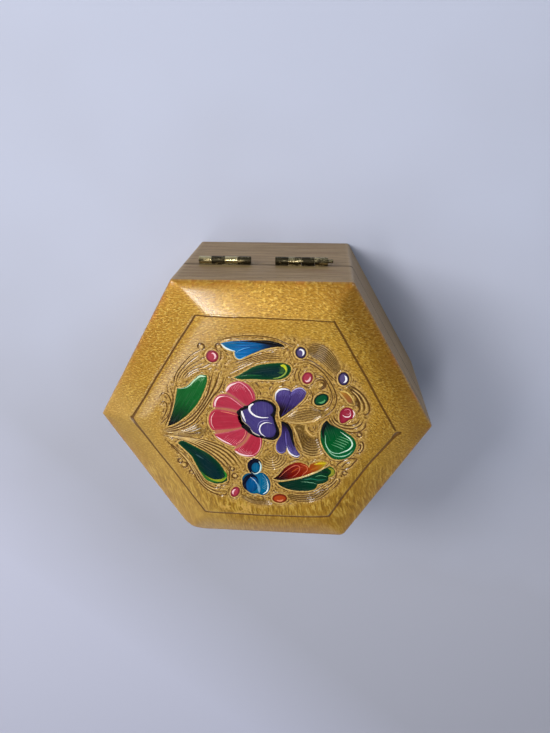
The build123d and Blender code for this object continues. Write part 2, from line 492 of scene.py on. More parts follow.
def lattice(low, high, step):
    """Points of an even triangular lattice over a rectangle."""
    rows = np.arange(low[1], high[1], step * math.sqrt(3) / 2)
    points = []
    for i, y in enumerate(rows):
        xs = np.arange(low[0] + (i % 2) * step / 2, high[0], step)
        points.append(np.column_stack([xs, np.full(len(xs), y)]))
    return np.concatenate(points)


def aside_of(line):
    """The direction to the left at each point of a line."""
    tangent = np.gradient(line, axis=0)
    tangent /= np.maximum(np.linalg.norm(tangent, axis=1), 1e-9)[:, None]
    return np.column_stack([-tangent[:, 1], tangent[:, 0]])


def outward_of(rim):
    """The outward direction at each point of a closed anticlockwise rim."""
    tangent = np.roll(rim, -1, axis=0) - np.roll(rim, 1, axis=0)
    normal = np.column_stack([tangent[:, 1], -tangent[:, 0]])
    return normal / np.linalg.norm(normal, axis=1)[:, None]


def tree_of(points):
    """A tree that finds the nearest of the points."""
    tree = KDTree(len(points))
    for i, point in enumerate(points):
        tree.insert((*point, 0), i)
    tree.balance()
    return tree


def triangulate(points, edges, rim_size, tolerance):
    """Points, triangles and origins of a mesh with the given edges, inside the first points' rim."""
    rim = [list(range(rim_size))]
    found = delaunay_2d_cdt([tuple(p) for p in points], edges, rim, 1, tolerance)
    return np.array([tuple(p) for p in found[0]]), found[2], found[3]


def spline(points):
    """A smooth line through all but the first and last of the points."""
    fine = []
    t = np.linspace(0, 1, 24, endpoint=False)[:, None]
    for a, b, c, d in zip(points, points[1:], points[2:], points[3:]):
        bend = (2 * a - 5 * b + 4 * c - d) * t**2 + (3 * b - a - 3 * c + d) * t**3
        fine.append(0.5 * (2 * b + (c - a) * t + bend))
    return np.vstack(fine)


def smooth(points, step=0.35):
    """A smooth line through the points, evenly stepped."""
    points = np.asarray(points, float)
    padded = np.vstack([2 * points[0] - points[1], points, 2 * points[-1] - points[-2]])
    return even(np.vstack([spline(padded), points[-1:]]), step)


def at_shares(line, own, shares):
    """The line's points at the shares, where its own points lie at the shares in own."""
    return np.column_stack([np.interp(shares, own, line[:, i]) for i in (0, 1)])


def even(line, step):
    """The line with its points a step apart."""
    lengths = np.concatenate([[0], np.cumsum(np.linalg.norm(np.diff(line, axis=0), axis=1))])
    count = max(3, round(lengths[-1] / step) + 1)
    return at_shares(line, lengths, np.linspace(0, lengths[-1], count))


def share_of(line, start, end):
    count = len(line) - 1
    return line[round(start * count) : round(end * count) + 1]


def arc(centre, radii, start, end, tilt=0.0):
    """Part of an ellipse, with its angles in degrees, anticlockwise from +X."""
    wide, high = radii
    count = max(6, round(abs(math.radians(end - start)) * max(wide, high) / 0.3))
    t = np.radians(np.linspace(start, end, count))
    ahead = heading(tilt)
    return np.outer(wide * np.cos(t), ahead) + np.outer(high * np.sin(t), left_of(ahead)) + centre


def curl(centre, radius, start, turns, shrink=0.25):
    """A small spiral that tightens from its outer end."""
    count = max(10, round(abs(turns) * 2 * math.pi * radius / 0.25))
    t = np.linspace(0, 1, count)
    reach = radius * (1 - (1 - shrink) * t)
    angle = math.radians(start) + 2 * math.pi * turns * t
    return np.column_stack([reach * np.cos(angle), reach * np.sin(angle)]) + centre


def bundle(first, last, count):
    """Lines that lead from one smooth line over to another."""
    first, last = smooth(first, 0.2), smooth(last, 0.2)
    t = np.linspace(0, 1, max(len(first), len(last)))
    start, end = (at_shares(line, np.linspace(0, 1, len(line)), t) for line in (first, last))
    return [even(start + (end - start) * share, 0.4) for share in np.linspace(0, 1, count)]


def cut(line, width=0.78, depth=0.18, stain=1.0, bare_and_sheen=0.0, fade=(0.12, 0.12)):
    """Carves a V along a line. The fades are the shares of it that run out at its ends."""
    t = np.linspace(0, 1, len(line))
    full = np.ones(len(line))
    for from_end, run in ((t, fade[0]), (1 - t, fade[1])):
        if run:
            full = np.minimum(full, 0.25 + 0.75 * np.clip(from_end / run, 0, 1))
    cuts.append((np.asarray(line), width / 2 * full, depth * full, stain, bare_and_sheen))


def groove(points, width, **settings):
    """A cut along a smooth line through the points."""
    cut(smooth(points), width, **settings)


def pale_line(line, width, bare_and_sheen, **settings):
    """Paints a pale line of bare wood and painted highlight, without a cut."""
    cut(line, width, 0.0, 0.0, bare_and_sheen, **settings)


def cut_bundle(first, last, count, width=0.78, ragged=0.06, ridge=0.5, **settings):
    """Side by side cuts, with the ridges between them painted pale by a share, as bare wood and as painted
    highlight.
    """
    for i, line in enumerate(bundle(first, last, 2 * count - 1)):
        trimmed = share_of(line, chance.uniform(0, ragged), 1 - chance.uniform(0, ragged))
        if len(trimmed) > 3 and i % 2 == 0:
            cut(trimmed, width * chance.uniform(0.85, 1.15), **settings)
        elif len(trimmed) > 3:
            pale_line(trimmed, 0.42, ridge)


def nest(lines, width=0.78, ridge=0.8):
    """Cuts that lie one inside the other, with the ridge between each two painted pale, as bare wood and as
    painted highlight.
    """
    for line in lines:
        groove(line, width, depth=0.2, fade=(0.1, 0.1))
    for outer, inner in zip(lines, lines[1:]):
        pale_line(share_of(bundle(outer, inner, 3)[1], 0.1, 0.95), 0.5, ridge)


def zone(points, share):
    """A part of the carving's ground under a dark olive glaze."""
    zones.append((round_loop(points), share))


def anticlockwise(rim):
    ahead = np.roll(rim, -1, axis=0)
    area = np.sum(rim[:, 0] * ahead[:, 1] - ahead[:, 0] * rim[:, 1])
    return rim if area > 0 else rim[::-1]


def loop(*runs, step=0.35):
    """A closed rim of smooth runs that meet in corners. Each run ends where the next begins."""
    lines = [[*run, after[0]] for run, after in zip(runs, runs[1:] + runs[:1])]
    return anticlockwise(np.vstack([smooth(line, step)[:-1] for line in lines]))


def round_loop(points, step=0.35):
    """A closed rim without corners."""
    points = np.asarray(points, float)
    line = spline(np.vstack([points[-1:], points, points[:2]]))
    return anticlockwise(even(np.vstack([line, line[:1]]), step)[:-1])


def oval(centre, wide, high, tilt=0.0):
    return arc(centre, (wide, high), 0, 360, tilt)[:-1]


def shade(stops, t):
    """Colours from stops of (place, colour), for an array of places."""
    places = [place for place, _ in stops]
    return np.column_stack([np.interp(t, places, [colour[i] for _, colour in stops]) for i in range(3)])


def by_place(*stops):
    """A paint that changes from the root of a shape to its tip."""
    return lambda along, from_rim: shade(stops, along)


def by_rim(*stops):
    """A paint that changes from the rim of a shape inwards, in millimetres."""
    return lambda along, from_rim: shade(stops, from_rim)


def plain(colour):
    return lambda along, from_rim: np.tile(np.asarray(colour, float), (len(along), 1))


def add_object(name, data):
    item = bpy.data.objects.new(name, data)
    bpy.context.scene.collection.objects.link(item)
    return item


def new_mesh(name, points, faces, materials, sharp=40):
    """A smooth-shaded mesh object from points in millimetres, sharp over an angle."""
    mesh = bpy.data.meshes.new(name)
    mesh.from_pydata([tuple(p) for p in np.asarray(points, float) * MM], [], faces)
    for material in materials:
        mesh.materials.append(material)
    mesh.shade_smooth()
    mesh.set_sharp_from_angle(angle=math.radians(sharp))
    return add_object(name, mesh)


def carry(piece, name, kind, values):
    """Gives each vertex of a piece its value, for the shaders to read."""
    layer = piece.data.attributes.new(name, kind, "POINT")
    field = {"FLOAT": "value", "FLOAT_COLOR": "color", "FLOAT_VECTOR": "vector"}[kind]
    layer.data.foreach_set(field, np.asarray(values, np.float32).ravel())


class Painting:
    """Patches of enamel and brush strokes that together make one piece of the lid."""

    def __init__(self, name, material):
        self.name, self.material = name, material
        self.points, self.faces, self.colours, self.brush = [], [], [], []
        self.seed = 0

    def add(self, points, faces, colours, brush):
        start = sum(len(p) for p in self.points)
        self.points.append(points)
        self.faces += [[start + i for i in face] for face in faces]
        self.colours.append(colours)
        self.brush.append(brush)

    def patch(self, rim, paint, axis=None, lift=0.0, outline=True):
        """A thin domed patch inside a rim, with a paint that runs along its axis or from its rim."""
        low, high = rim.min(0), rim.max(0)
        inner = clear_inside(rim, lattice(low, high, 0.27), 0.2)
        outward = outward_of(rim)
        ring = clear_inside(rim, np.vstack([rim - 0.1 * outward, rim + 0.1 * outward]), 0.07)
        places, faces, _ = triangulate(np.vstack([rim, ring, inner]), [], len(rim), 1e-4)
        from_rim = distance_to(rim, places, closed=True)
        rise = 1 - np.clip(from_rim / DOME_RUN, 0, 1)
        height = lid_height(places) + lift + DOME * np.sqrt(1 - rise**2)
        height[from_rim < 0.01] -= lift + SUNK
        root, tip = (np.asarray(end, float) for end in axis or (low, high))
        length = np.linalg.norm(tip - root)
        ahead = (tip - root) / length
        along = (places - root) @ ahead
        across = (places - root) @ left_of(ahead)
        self.seed += 1
        brush = np.column_stack([along, across, np.full(len(places), 3.1 * self.seed)])
        self.add(np.column_stack([places, height]), faces, paint(along / length, from_rim), brush)
        if outline:
            outlines.append(rim)

    def stroke(self, points, width, colour, lean=0.5, lift=0.0, smoothed=True):
        """A raised stroke of a loaded brush, pointed at both ends and widest at the lean."""
        line = smooth(points, 0.22) if smoothed else np.asarray(points, float)
        count = len(line)
        t = np.linspace(0, 1, count)
        swell = np.sin(math.pi * t ** (math.log(0.5) / math.log(lean)))
        half = width / 2 * (0.12 + 0.88 * np.clip(swell, 0, 1) ** 0.7)
        aside = aside_of(line)
        places, faces, brush = [], [], []
        profile = ((-1.0, -0.05), (-0.6, 0.022), (0.0, 0.034), (0.6, 0.022), (1.0, -0.05))
        for share, rise in profile:
            side = line + aside * (half * share)[:, None]
            places.append(np.column_stack([side, lid_height(side) + lift + DOME + rise]))
            brush.append(np.column_stack([t * 4, np.full(count, share), np.full(count, 50.0)]))
        for row in range(len(profile) - 1):
            for i in range(count - 1):
                a, b = row * count + i, (row + 1) * count + i
                faces.append([a, a + 1, b + 1, b])
        places = np.vstack(places)
        colours = np.tile(np.asarray(colour, float), (len(places), 1))
        self.add(places, faces, colours, np.vstack(brush))

    def comb(self, along, reach, count, width, colour, lift=0.0):
        """Fine hairs that run from a line towards the reach, as a dry brush leaves them."""
        line = smooth(along, 0.1)
        for share in np.linspace(0.03, 0.97, count):
            start = line[round(share * (len(line) - 1))]
            end = start + np.asarray(reach) * chance.uniform(0.6, 1.1)
            self.stroke([start, (start + end) / 2, end], width, colour, 0.25, lift)

    def build(self):
        piece = new_mesh(self.name, np.vstack(self.points), self.faces, [self.material])
        colours = np.clip(np.vstack(self.colours), 0, 255)
        carry(piece, "paint", "FLOAT_COLOR", [srgb(*colour) for colour in colours])
        carry(piece, "brush", "FLOAT_VECTOR", np.vstack(self.brush))
        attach(piece, "lid")


def pink_flower():
    p = Painting("pink_flower", enamel("rose_enamel", 0.12))
    petal = by_rim((0, (166, 78, 88)), (0.28, (196, 96, 108)), (0.45, (184, 58, 80)), (1.2, (180, 50, 72)))
    deep = by_rim((0, (166, 68, 80)), (0.28, (196, 80, 90)), (0.45, (182, 50, 68)), (1.2, (176, 44, 64)))
    bed = [(-12.0, 12.4), (-10.4, 15.0), (-7.6, 15.8), (-5.0, 14.6), (-3.0, 11.8), (-3.2, 7.0), (-5.0, 1.0),
           (-2.5, -3.4), (-0.9, -6.2), (-1.3, -9.6), (-3.0, -12.6), (-6.0, -12.9), (-9.4, -11.2),
           (-10.4, -9.4), (-13.2, -8.0), (-16.0, -6.0), (-16.7, -4.2), (-18.0, -2.0), (-18.4, 0.8),
           (-17.6, 3.4), (-16.5, 5.4), (-16.5, 8.0), (-15.0, 10.0), (-12.9, 10.9)]
    p.patch(round_loop(bed), plain((184, 112, 84)), lift=-0.07, outline=False)
    top = [(-12.6, 12.3), (-11.6, 14.6), (-9.9, 15.8), (-7.7, 16.3), (-5.4, 15.6), (-3.5, 13.9),
           (-2.4, 11.4), (-2.4, 9.0)]
    p.patch(loop(top, [(-3.6, 5.6), (-6.6, 7.6), (-9.4, 10.0)]), petal, ((-4, 6), (-9, 16)))
    upper = [(-17.1, 5.9), (-17.1, 7.4), (-16.4, 9.4), (-15.0, 10.8), (-13.3, 11.3), (-11.3, 10.9),
             (-8.2, 8.6)]
    p.patch(loop(upper, [(-4.6, 5.4), (-7.0, 4.5), (-11.7, 5.6)]), petal, ((-5, 4), (-17, 8)), 0.02)
    middle = [(-17.6, -3.3), (-18.7, -1.6), (-19.0, 0.7), (-18.5, 3.1), (-17.3, 4.7), (-15.6, 5.3),
              (-11.5, 4.7)]
    p.patch(loop(middle, [(-5.6, 3.2)], [(-5.6, -0.6), (-9.6, -2.2)]), deep, ((-5, 1), (-19, 0)), 0.03)
    lower = [(-17.3, -4.6), (-13.3, -3.8), (-9.4, -2.6)]
    inner = [(-5.2, -1.2), (-5.3, -4.0), (-6.9, -7.2)]
    outer = [(-9.8, -9.6), (-13.2, -8.6), (-16.4, -6.2)]
    p.patch(loop(lower, inner, outer), petal, ((-5, -2), (-15, -8)), 0.02)
    foot = [(-10.6, -10.9), (-7.4, -8.9), (-5.2, -6.0)]
    rest = [(-0.9, -3.4), (-0.2, -6.6), (-0.7, -9.6), (-2.4, -12.8), (-4.7, -13.8), (-7.6, -13.3)]
    p.patch(loop(foot, [(-3.7, -2.6)], rest), deep, ((-2, -3), (-7, -14)))
    blush = (252, 214, 218)
    p.stroke([(-12.3, 12.2), (-10.9, 14.4), (-8.4, 15.7)], 0.95, blush, 0.35)
    p.stroke([(-9.0, 15.5), (-7.4, 15.7), (-5.4, 14.2), (-3.9, 12.0), (-3.2, 9.6)], 0.42, (246, 170, 182),
             0.3)
    p.comb([(-10.6, 14.2), (-8.4, 15.3), (-6.4, 14.6)], (1.0, -2.6), 9, 0.14, (238, 150, 166))
    p.stroke([(-16.4, 6.3), (-16.1, 8.2), (-14.9, 9.9), (-12.8, 10.5)], 0.8, blush, 0.3, 0.02)
    p.stroke([(-13.4, 10.5), (-11.2, 10.0), (-8.6, 8.0), (-6.6, 6.2)], 0.34, (240, 156, 168), lift=0.02)
    p.stroke([(-17.0, -2.6), (-17.9, -0.6), (-17.8, 2.0), (-16.6, 4.2)], 0.42, (244, 180, 180), lift=0.03)
    p.stroke([(-14.6, 4.5), (-11.4, 3.9), (-8.4, 3.0)], 0.3, (236, 140, 110), lift=0.03)
    p.stroke([(-16.5, -5.6), (-14.0, -7.4), (-11.0, -8.9)], 0.7, blush, 0.45, 0.02)
    p.stroke([(-6.0, -2.6), (-6.3, -4.6), (-7.6, -6.9), (-9.6, -8.6)], 0.32, (240, 160, 130), lift=0.02)
    p.comb([(-14.0, -6.8), (-11.4, -8.3), (-9.6, -8.6)], (1.8, 2.0), 8, 0.13, (236, 140, 156), 0.02)
    p.stroke([(-10.0, -11.3), (-8.4, -12.5), (-6.0, -13.2), (-3.4, -12.9)], 0.85, blush, 0.4)
    p.stroke([(-4.2, -13.1), (-1.9, -11.4), (-0.9, -8.4), (-1.0, -5.2)], 0.36, (240, 160, 170))
    p.comb([(-9.2, -11.6), (-6.8, -12.7), (-4.6, -12.8)], (1.3, 2.4), 10, 0.14, (240, 160, 172))
    return p


def violet_centre():
    p = Painting("violet_flower_centre", enamel("violet_enamel", 0.16))
    outline = [(-5.1, 7.3), (-3.6, 8.7), (-1.5, 9.6), (0.9, 9.6), (2.9, 8.9), (4.4, 7.5), (4.8, 5.6),
               (4.3, 2.8), (4.9, 0.3), (5.8, -2.4), (5.6, -4.8), (3.6, -6.4), (0.6, -6.0), (-2.4, -5.4),
               (-5.4, -3.6), (-8.0, -0.9), (-9.3, 2.2), (-8.7, 5.2), (-6.8, 6.8)]
    p.patch(round_loop(outline), plain(BLACK), lift=0.03)
    body = [(-7.3, 4.4), (-6.2, 5.7), (-4.4, 6.0), (0.0, 5.0), (3.2, 3.4), (4.1, 0.4), (4.7, -2.2),
            (4.1, -4.5), (2.6, -5.4), (0.0, -4.9), (-2.9, -3.9), (-5.0, -1.5), (-7.0, 1.0)]
    violet = by_rim((0, (44, 36, 88)), (0.5, (68, 58, 118)), (2.0, (72, 62, 124)))
    p.patch(round_loop(body), violet, ((-7, 4), (3, -5)), 0.06, outline=False)
    p.patch(oval((-0.3, 5.8), 4.15, 3.2, 4), violet, ((0, 8), (0, 2)), 0.09, outline=False)
    p.patch(oval((1.75, -2.3), 2.95, 3.05), violet, ((2, 1), (2, -5)), 0.09, outline=False)
    p.stroke([(-3.0, 7.9), (-4.3, 6.7), (-4.2, 4.9), (-2.6, 3.3), (-0.4, 2.6), (2.0, 2.7)], 0.95, WHITE,
             0.3, 0.08)
    p.stroke([(3.3, 0.4), (1.3, 0.7), (-0.4, -0.2), (-1.1, -2.0), (-0.6, -3.8), (0.9, -5.0)], 0.62, WHITE,
             0.6, 0.08)
    p.stroke([(-1.9, -1.6), (-1.2, 0.5), (0.5, 1.4), (2.6, 1.4)], 0.28, (168, 158, 214), lift=0.06)
    p.stroke([(-7.2, 5.0), (-6.7, 2.9), (-5.9, 0.7)], 0.95, (244, 240, 240), 0.35, 0.06)
    p.stroke([(-7.6, 3.4), (-6.9, 1.0), (-5.2, -0.7), (-4.0, -2.0)], 0.5, (160, 144, 116), lift=0.05)
    p.stroke([(-4.4, -2.0), (-3.2, -3.6), (-1.0, -4.8)], 0.6, (196, 186, 172), 0.6, 0.06)
    return p


def violet_petals():
    p = Painting("violet_petals", enamel("deep_violet_enamel", 0.26))
    violet = by_place((0, (10, 4, 8)), (0.28, (22, 6, 14)), (0.44, (48, 34, 80)), (0.54, (64, 50, 112)),
                      (1, (82, 66, 124)))
    left = [(6.0, 2.5), (5.6, 4.4), (5.8, 6.2), (5.2, 8.0), (4.2, 9.8), (4.3, 12.0), (5.4, 13.6),
            (7.4, 14.3), (9.0, 13.9)]
    right = [(9.7, 12.9), (10.5, 13.8), (12.2, 14.6), (13.8, 14.4)]
    under = [(15.0, 12.8), (14.2, 10.6), (11.8, 7.7), (8.6, 4.6)]
    p.patch(loop(left, right, under), violet, ((6.0, 2.5), (9.8, 14.2)))
    p.stroke([(6.6, 3.8), (8.4, 7.4), (9.4, 10.2), (9.7, 12.6)], 0.5, (38, 24, 84), 0.35)
    p.stroke([(6.4, 3.4), (9.6, 6.4), (12.4, 9.6)], 0.5, (46, 30, 96), 0.3)
    p.stroke([(4.5, 9.4), (4.6, 11.8), (5.8, 13.4), (7.6, 13.8), (9.2, 13.4)], 0.72, WHITE, 0.6)
    p.stroke([(9.9, 12.9), (11.6, 14.1), (13.4, 14.2), (14.8, 12.8)], 0.42, (200, 192, 226))
    p.comb([(5.2, 12.6), (7.2, 13.4), (9.0, 13.0)], (0.2, -2.6), 9, 0.16, (116, 104, 186))
    p.comb([(10.4, 13.2), (12.4, 14.0), (14.2, 13.0)], (-1.5, -2.4), 9, 0.16, (120, 108, 190))
    edge = [(6.2, 1.4), (7.9, 0.5), (9.4, -1.4), (10.2, -3.8), (10.8, -6.8), (11.8, -9.8)]
    tip = [(13.3, -12.2), (12.3, -13.3), (10.8, -13.1), (9.3, -11.7)]
    lobe = [(8.3, -9.7), (7.8, -11.2), (6.3, -11.9), (4.9, -11.0), (4.4, -9.2), (4.9, -6.8), (6.2, -4.2),
            (6.5, -1.4)]
    lower = by_place((0, (20, 8, 26)), (0.25, (54, 42, 98)), (0.7, (66, 56, 114)), (1, (76, 70, 126)))
    p.patch(loop(edge, tip, lobe), lower, ((6.4, 0.8), (8.4, -13)))
    p.stroke([(6.4, 1.2), (8.5, -0.5), (9.7, -3.2), (10.3, -6.4), (11.0, -8.8)], 1.5, BLACK, 0.3)
    p.stroke([(8.3, -8.6), (8.9, -10.5), (10.0, -11.9), (11.6, -12.7), (12.9, -12.2)], 0.72,
             (244, 240, 246), 0.6)
    p.stroke([(8.0, -2.4), (8.0, -5.4), (8.3, -8.4)], 0.32, (118, 106, 188))
    p.stroke([(4.8, -8.0), (4.9, -10.4), (6.2, -11.4), (7.6, -10.9)], 0.34, (150, 140, 204))
    p.comb([(9.2, -10.6), (10.4, -12.0), (12.0, -12.2)], (-0.6, 3.0), 8, 0.15, (130, 118, 198))
    return p


def left_leaf():
    p = Painting("left_leaf", enamel("leaf_green_enamel", 0.24))
    side = [(-33.8, -2.4), (-32.3, 1.4), (-31.0, 5.2), (-30.0, 9.0)]
    top = [(-29.2, 12.8), (-27.2, 13.2), (-25.4, 14.1), (-23.8, 15.8), (-21.8, 17.7), (-20.4, 18.3)]
    back = [(-18.6, 18.1), (-18.6, 15.8), (-20.0, 11.8), (-22.4, 7.2), (-26.2, 2.6), (-30.4, -0.8)]
    green = by_place((0, (6, 6, 12)), (0.1, (6, 10, 14)), (0.24, (10, 50, 22)), (0.5, (14, 92, 36)),
                     (1, (18, 104, 42)))
    p.patch(loop(side, top, back), green, ((-33.8, -2.4), (-22.5, 17.5)))
    pale = (204, 234, 202)
    p.stroke([(-28.8, 12.7), (-26.4, 13.1), (-24.8, 14.0), (-22.8, 16.2), (-21.0, 17.4)], 0.5, pale, 0.7)
    p.stroke([(-22.8, 16.2), (-20.9, 17.6), (-18.9, 17.6)], 0.9, pale, 0.6)
    p.comb([(-24.0, 14.9), (-22.2, 16.6), (-19.3, 17.2)], (-0.5, -1.5), 12, 0.15, (150, 206, 150))
    for shift in (0.0, 1.6, 3.2):
        p.stroke([(-32.4, -0.6), (-29.0 + shift / 2, 3.4), (-26.6 + shift, 8.2)], 0.3, (4, 44, 28), 0.3)
    return p


def lower_left_leaf():
    p = Painting("lower_left_leaf", enamel("dark_green_enamel", 0.14))
    crest = [(-30.6, -9.0), (-29.4, -8.0), (-27.8, -8.2), (-23.7, -10.5), (-19.4, -13.2), (-16.0, -16.8),
             (-14.0, -20.6)]
    belly = [(-13.2, -24.2), (-14.9, -25.4), (-17.4, -25.9), (-20.0, -24.9), (-22.6, -22.0), (-24.6, -17.6),
             (-26.2, -14.0)]
    dark = by_rim((0, (14, 82, 38)), (0.35, (4, 62, 36)), (1.0, (3, 48, 34)), (2.6, (3, 40, 44)))
    p.patch(loop(crest, belly), dark, ((-30, -8.5), (-14, -24)))
    p.stroke([(-14.4, -20.0), (-13.7, -22.4), (-15.4, -24.2)], 0.8, (46, 130, 40))
    p.stroke([(-22.8, -20.8), (-20.4, -24.0), (-16.6, -25.2)], 1.4, (46, 108, 36))
    p.stroke([(-21.4, -22.4), (-18.6, -24.2), (-15.6, -24.3), (-13.6, -22.8)], 1.5, (152, 162, 30), 0.72)
    p.stroke([(-24.4, -13.4), (-22.8, -14.5), (-21.6, -15.4)], 0.5, (58, 92, 92))
    return p


def top_leaf():
    p = Painting("top_leaf", enamel("bottle_green_enamel", 0.16))
    rim = [(-9.7, 17.5), (-6.6, 19.3), (-3.6, 21.3), (-0.4, 22.6), (4.3, 23.3), (7.4, 23.3), (9.2, 22.5),
           (9.7, 20.9), (8.7, 18.8), (6.4, 17.4), (2.4, 17.0), (-3.0, 17.1), (-7.4, 16.9)]
    green = by_rim((0, (10, 84, 34)), (0.5, (4, 64, 34)), (1.3, (3, 48, 38)), (2.8, (6, 42, 46)))
    p.patch(loop(rim), green, ((-9.7, 17.4), (9.5, 20.6)))
    p.stroke([(-9.0, 17.5), (-5.0, 18.4), (0.0, 18.6)], 0.8, (8, 84, 40))
    p.comb([(7.4, 22.6), (7.8, 21.2), (7.0, 19.4)], (-2.2, 0.1), 10, 0.16, (96, 150, 60))
    p.stroke([(7.6, 22.8), (8.2, 21.2), (7.6, 19.4), (5.8, 18.1), (3.6, 17.6)], 0.8, (142, 168, 66), 0.35)
    p.stroke([(6.2, 22.4), (7.3, 22.3), (8.0, 21.4), (8.2, 20.2)], 1.5, (204, 206, 30), 0.4)
    return p


def blue_wing():
    p = Painting("blue_wing_leaf", enamel("blue_enamel", 0.34))
    top = [(-13.6, 29.9), (-10.0, 30.7), (-4.7, 31.1), (0.8, 31.1), (4.2, 30.5)]
    under = [(7.5, 29.4), (4.4, 28.9), (0.7, 28.0), (-3.5, 26.1)]
    lobe = [(-7.2, 24.2), (-8.4, 24.7), (-8.9, 25.8)]
    side = [(-9.0, 27.0), (-10.4, 27.2), (-12.0, 28.1)]
    blue = by_place((0, (0, 104, 150)), (0.35, (10, 110, 180)), (0.6, (0, 82, 138)), (0.72, (10, 40, 76)),
                    (0.82, (12, 12, 26)), (1, (8, 6, 12)))
    p.patch(loop(top, under, lobe, side), blue, ((-13.0, 27.6), (7.5, 29.4)))
    p.stroke([(-9.4, 30.5), (-2.4, 30.7), (2.8, 30.3), (7.4, 29.3)], 1.7, (10, 8, 14), 0.76)
    p.stroke([(-12.0, 29.6), (-8.2, 29.9), (-3.4, 29.9)], 0.5, (0, 74, 112))
    p.stroke([(-11.0, 28.7), (-7.4, 28.7), (-3.0, 29.4)], 0.3, (10, 50, 120))
    p.stroke([(-8.2, 27.0), (-5.2, 27.9), (-1.0, 28.9)], 0.3, (10, 54, 130))
    p.stroke([(-8.4, 26.8), (-6.2, 28.0), (-3.8, 28.7)], 0.22, (120, 186, 226), 0.3)
    p.stroke([(-13.2, 29.6), (-12.0, 28.4), (-10.4, 27.6), (-8.6, 27.1)], 0.72, (232, 244, 240), 0.35)
    p.stroke([(-8.8, 26.6), (-8.6, 25.2), (-7.2, 24.4), (-5.0, 25.6)], 0.32, (136, 196, 224))
    return p


def blue_bud():
    p = Painting("blue_bud", enamel("bright_blue_enamel", 0.12))
    navy = plain((10, 12, 34))
    blue = by_rim((0, (0, 68, 102)), (0.6, (0, 92, 132)), (2, (2, 100, 142)))
    deep = by_rim((0, (0, 54, 100)), (0.6, (0, 76, 130)), (2, (0, 84, 140)))
    top = [(-5.8, -18.2), (-5.7, -16.4), (-4.6, -14.9), (-3.0, -14.2), (-1.4, -14.8), (-0.6, -16.6),
           (-0.8, -19.0), (-1.9, -20.8), (-3.6, -21.2), (-5.0, -20.2)]
    body = [(-7.9, -24.0), (-7.4, -22.0), (-5.8, -20.7), (-3.4, -20.7), (-0.6, -20.2), (1.2, -21.4),
            (2.3, -23.8), (2.4, -26.6), (1.3, -29.2), (-0.4, -30.2), (-2.4, -29.6), (-4.6, -29.6),
            (-6.8, -27.6)]
    p.patch(round_loop(body), blue, ((0, -20), (0, -30)))
    p.patch(round_loop(top), navy, lift=0.03)
    p.patch(oval((-4.85, -24.7), 3.0, 3.9, -14), navy, lift=0.03, outline=False)
    p.patch(oval((-4.25, -25.5), 2.35, 3.5, -14), deep, ((-4, -22), (-4, -29)), 0.06, outline=False)
    p.patch(oval((-2.75, -18.1), 1.7, 2.3, -6), blue, ((-3, -16), (-3, -20)), 0.06, outline=False)
    p.stroke([(-1.6, -15.3), (-0.9, -17.2), (-1.3, -19.5), (-2.9, -20.8), (-4.4, -20.0)], 0.6,
             (206, 230, 226), 0.35, 0.06)
    p.stroke([(-4.9, -22.2), (-3.1, -24.0), (-1.9, -26.4), (-1.6, -29.0)], 0.95, (104, 154, 186), 0.75, 0.06)
    p.stroke([(-4.9, -22.2), (-3.4, -23.5), (-2.5, -25.0)], 0.3, (206, 226, 240), lift=0.08)
    p.comb([(0.7, -23.0), (1.2, -25.4), (0.8, -27.6)], (-1.6, 0.9), 7, 0.3, (96, 150, 168))
    p.stroke([(-0.3, -20.8), (1.1, -23.2), (1.6, -26.0), (1.2, -28.2), (-0.4, -29.7)], 0.62,
             (214, 234, 238), 0.75, 0.02)
    return p


def teardrop_leaf():
    p = Painting("teardrop_leaf", enamel("emerald_enamel", 0.2))
    west = [(21.9, 2.4), (20.6, 0.6), (19.9, -2.6), (20.2, -6.2), (21.5, -9.6), (24.0, -12.8),
            (26.8, -13.5), (29.6, -12.6), (31.8, -10.0), (32.5, -6.9), (31.2, -4.1), (27.6, -1.5),
            (24.2, 0.2)]
    green = by_place((0, (8, 12, 14)), (0.12, (6, 34, 26)), (0.28, (4, 76, 40)), (0.6, (3, 88, 38)),
                     (1, (10, 92, 52)))
    p.patch(loop(west), green, ((21.9, 2.4), (27.6, -13.2)))
    p.stroke([(21.8, 1.4), (20.9, -1.4), (21.0, -5.0)], 1.4, (6, 14, 16), 0.35)
    pale = (206, 240, 214)
    p.stroke([(21.7, -3.6), (21.9, -7.0), (23.3, -9.7), (25.5, -10.8), (28.2, -10.4)], 0.42, (168, 224, 190))
    p.stroke([(26.6, -10.9), (29.8, -9.2), (31.1, -7.2), (30.4, -5.0), (28.6, -3.4), (26.8, -2.0)], 0.68,
             pale, 0.45)
    p.stroke([(22.0, -8.0), (23.9, -11.0), (26.5, -12.1), (29.4, -11.4), (31.4, -9.4)], 0.45,
             (160, 218, 180), 0.6)
    for i in range(5):
        start = np.array([30.5 - 0.62 * i, -5.6 - 0.85 * i])
        p.stroke([start, start + (-2.0, 0.95), start + (-4.2, 1.8)], 0.34, (116, 184, 136), 0.25)
    return p


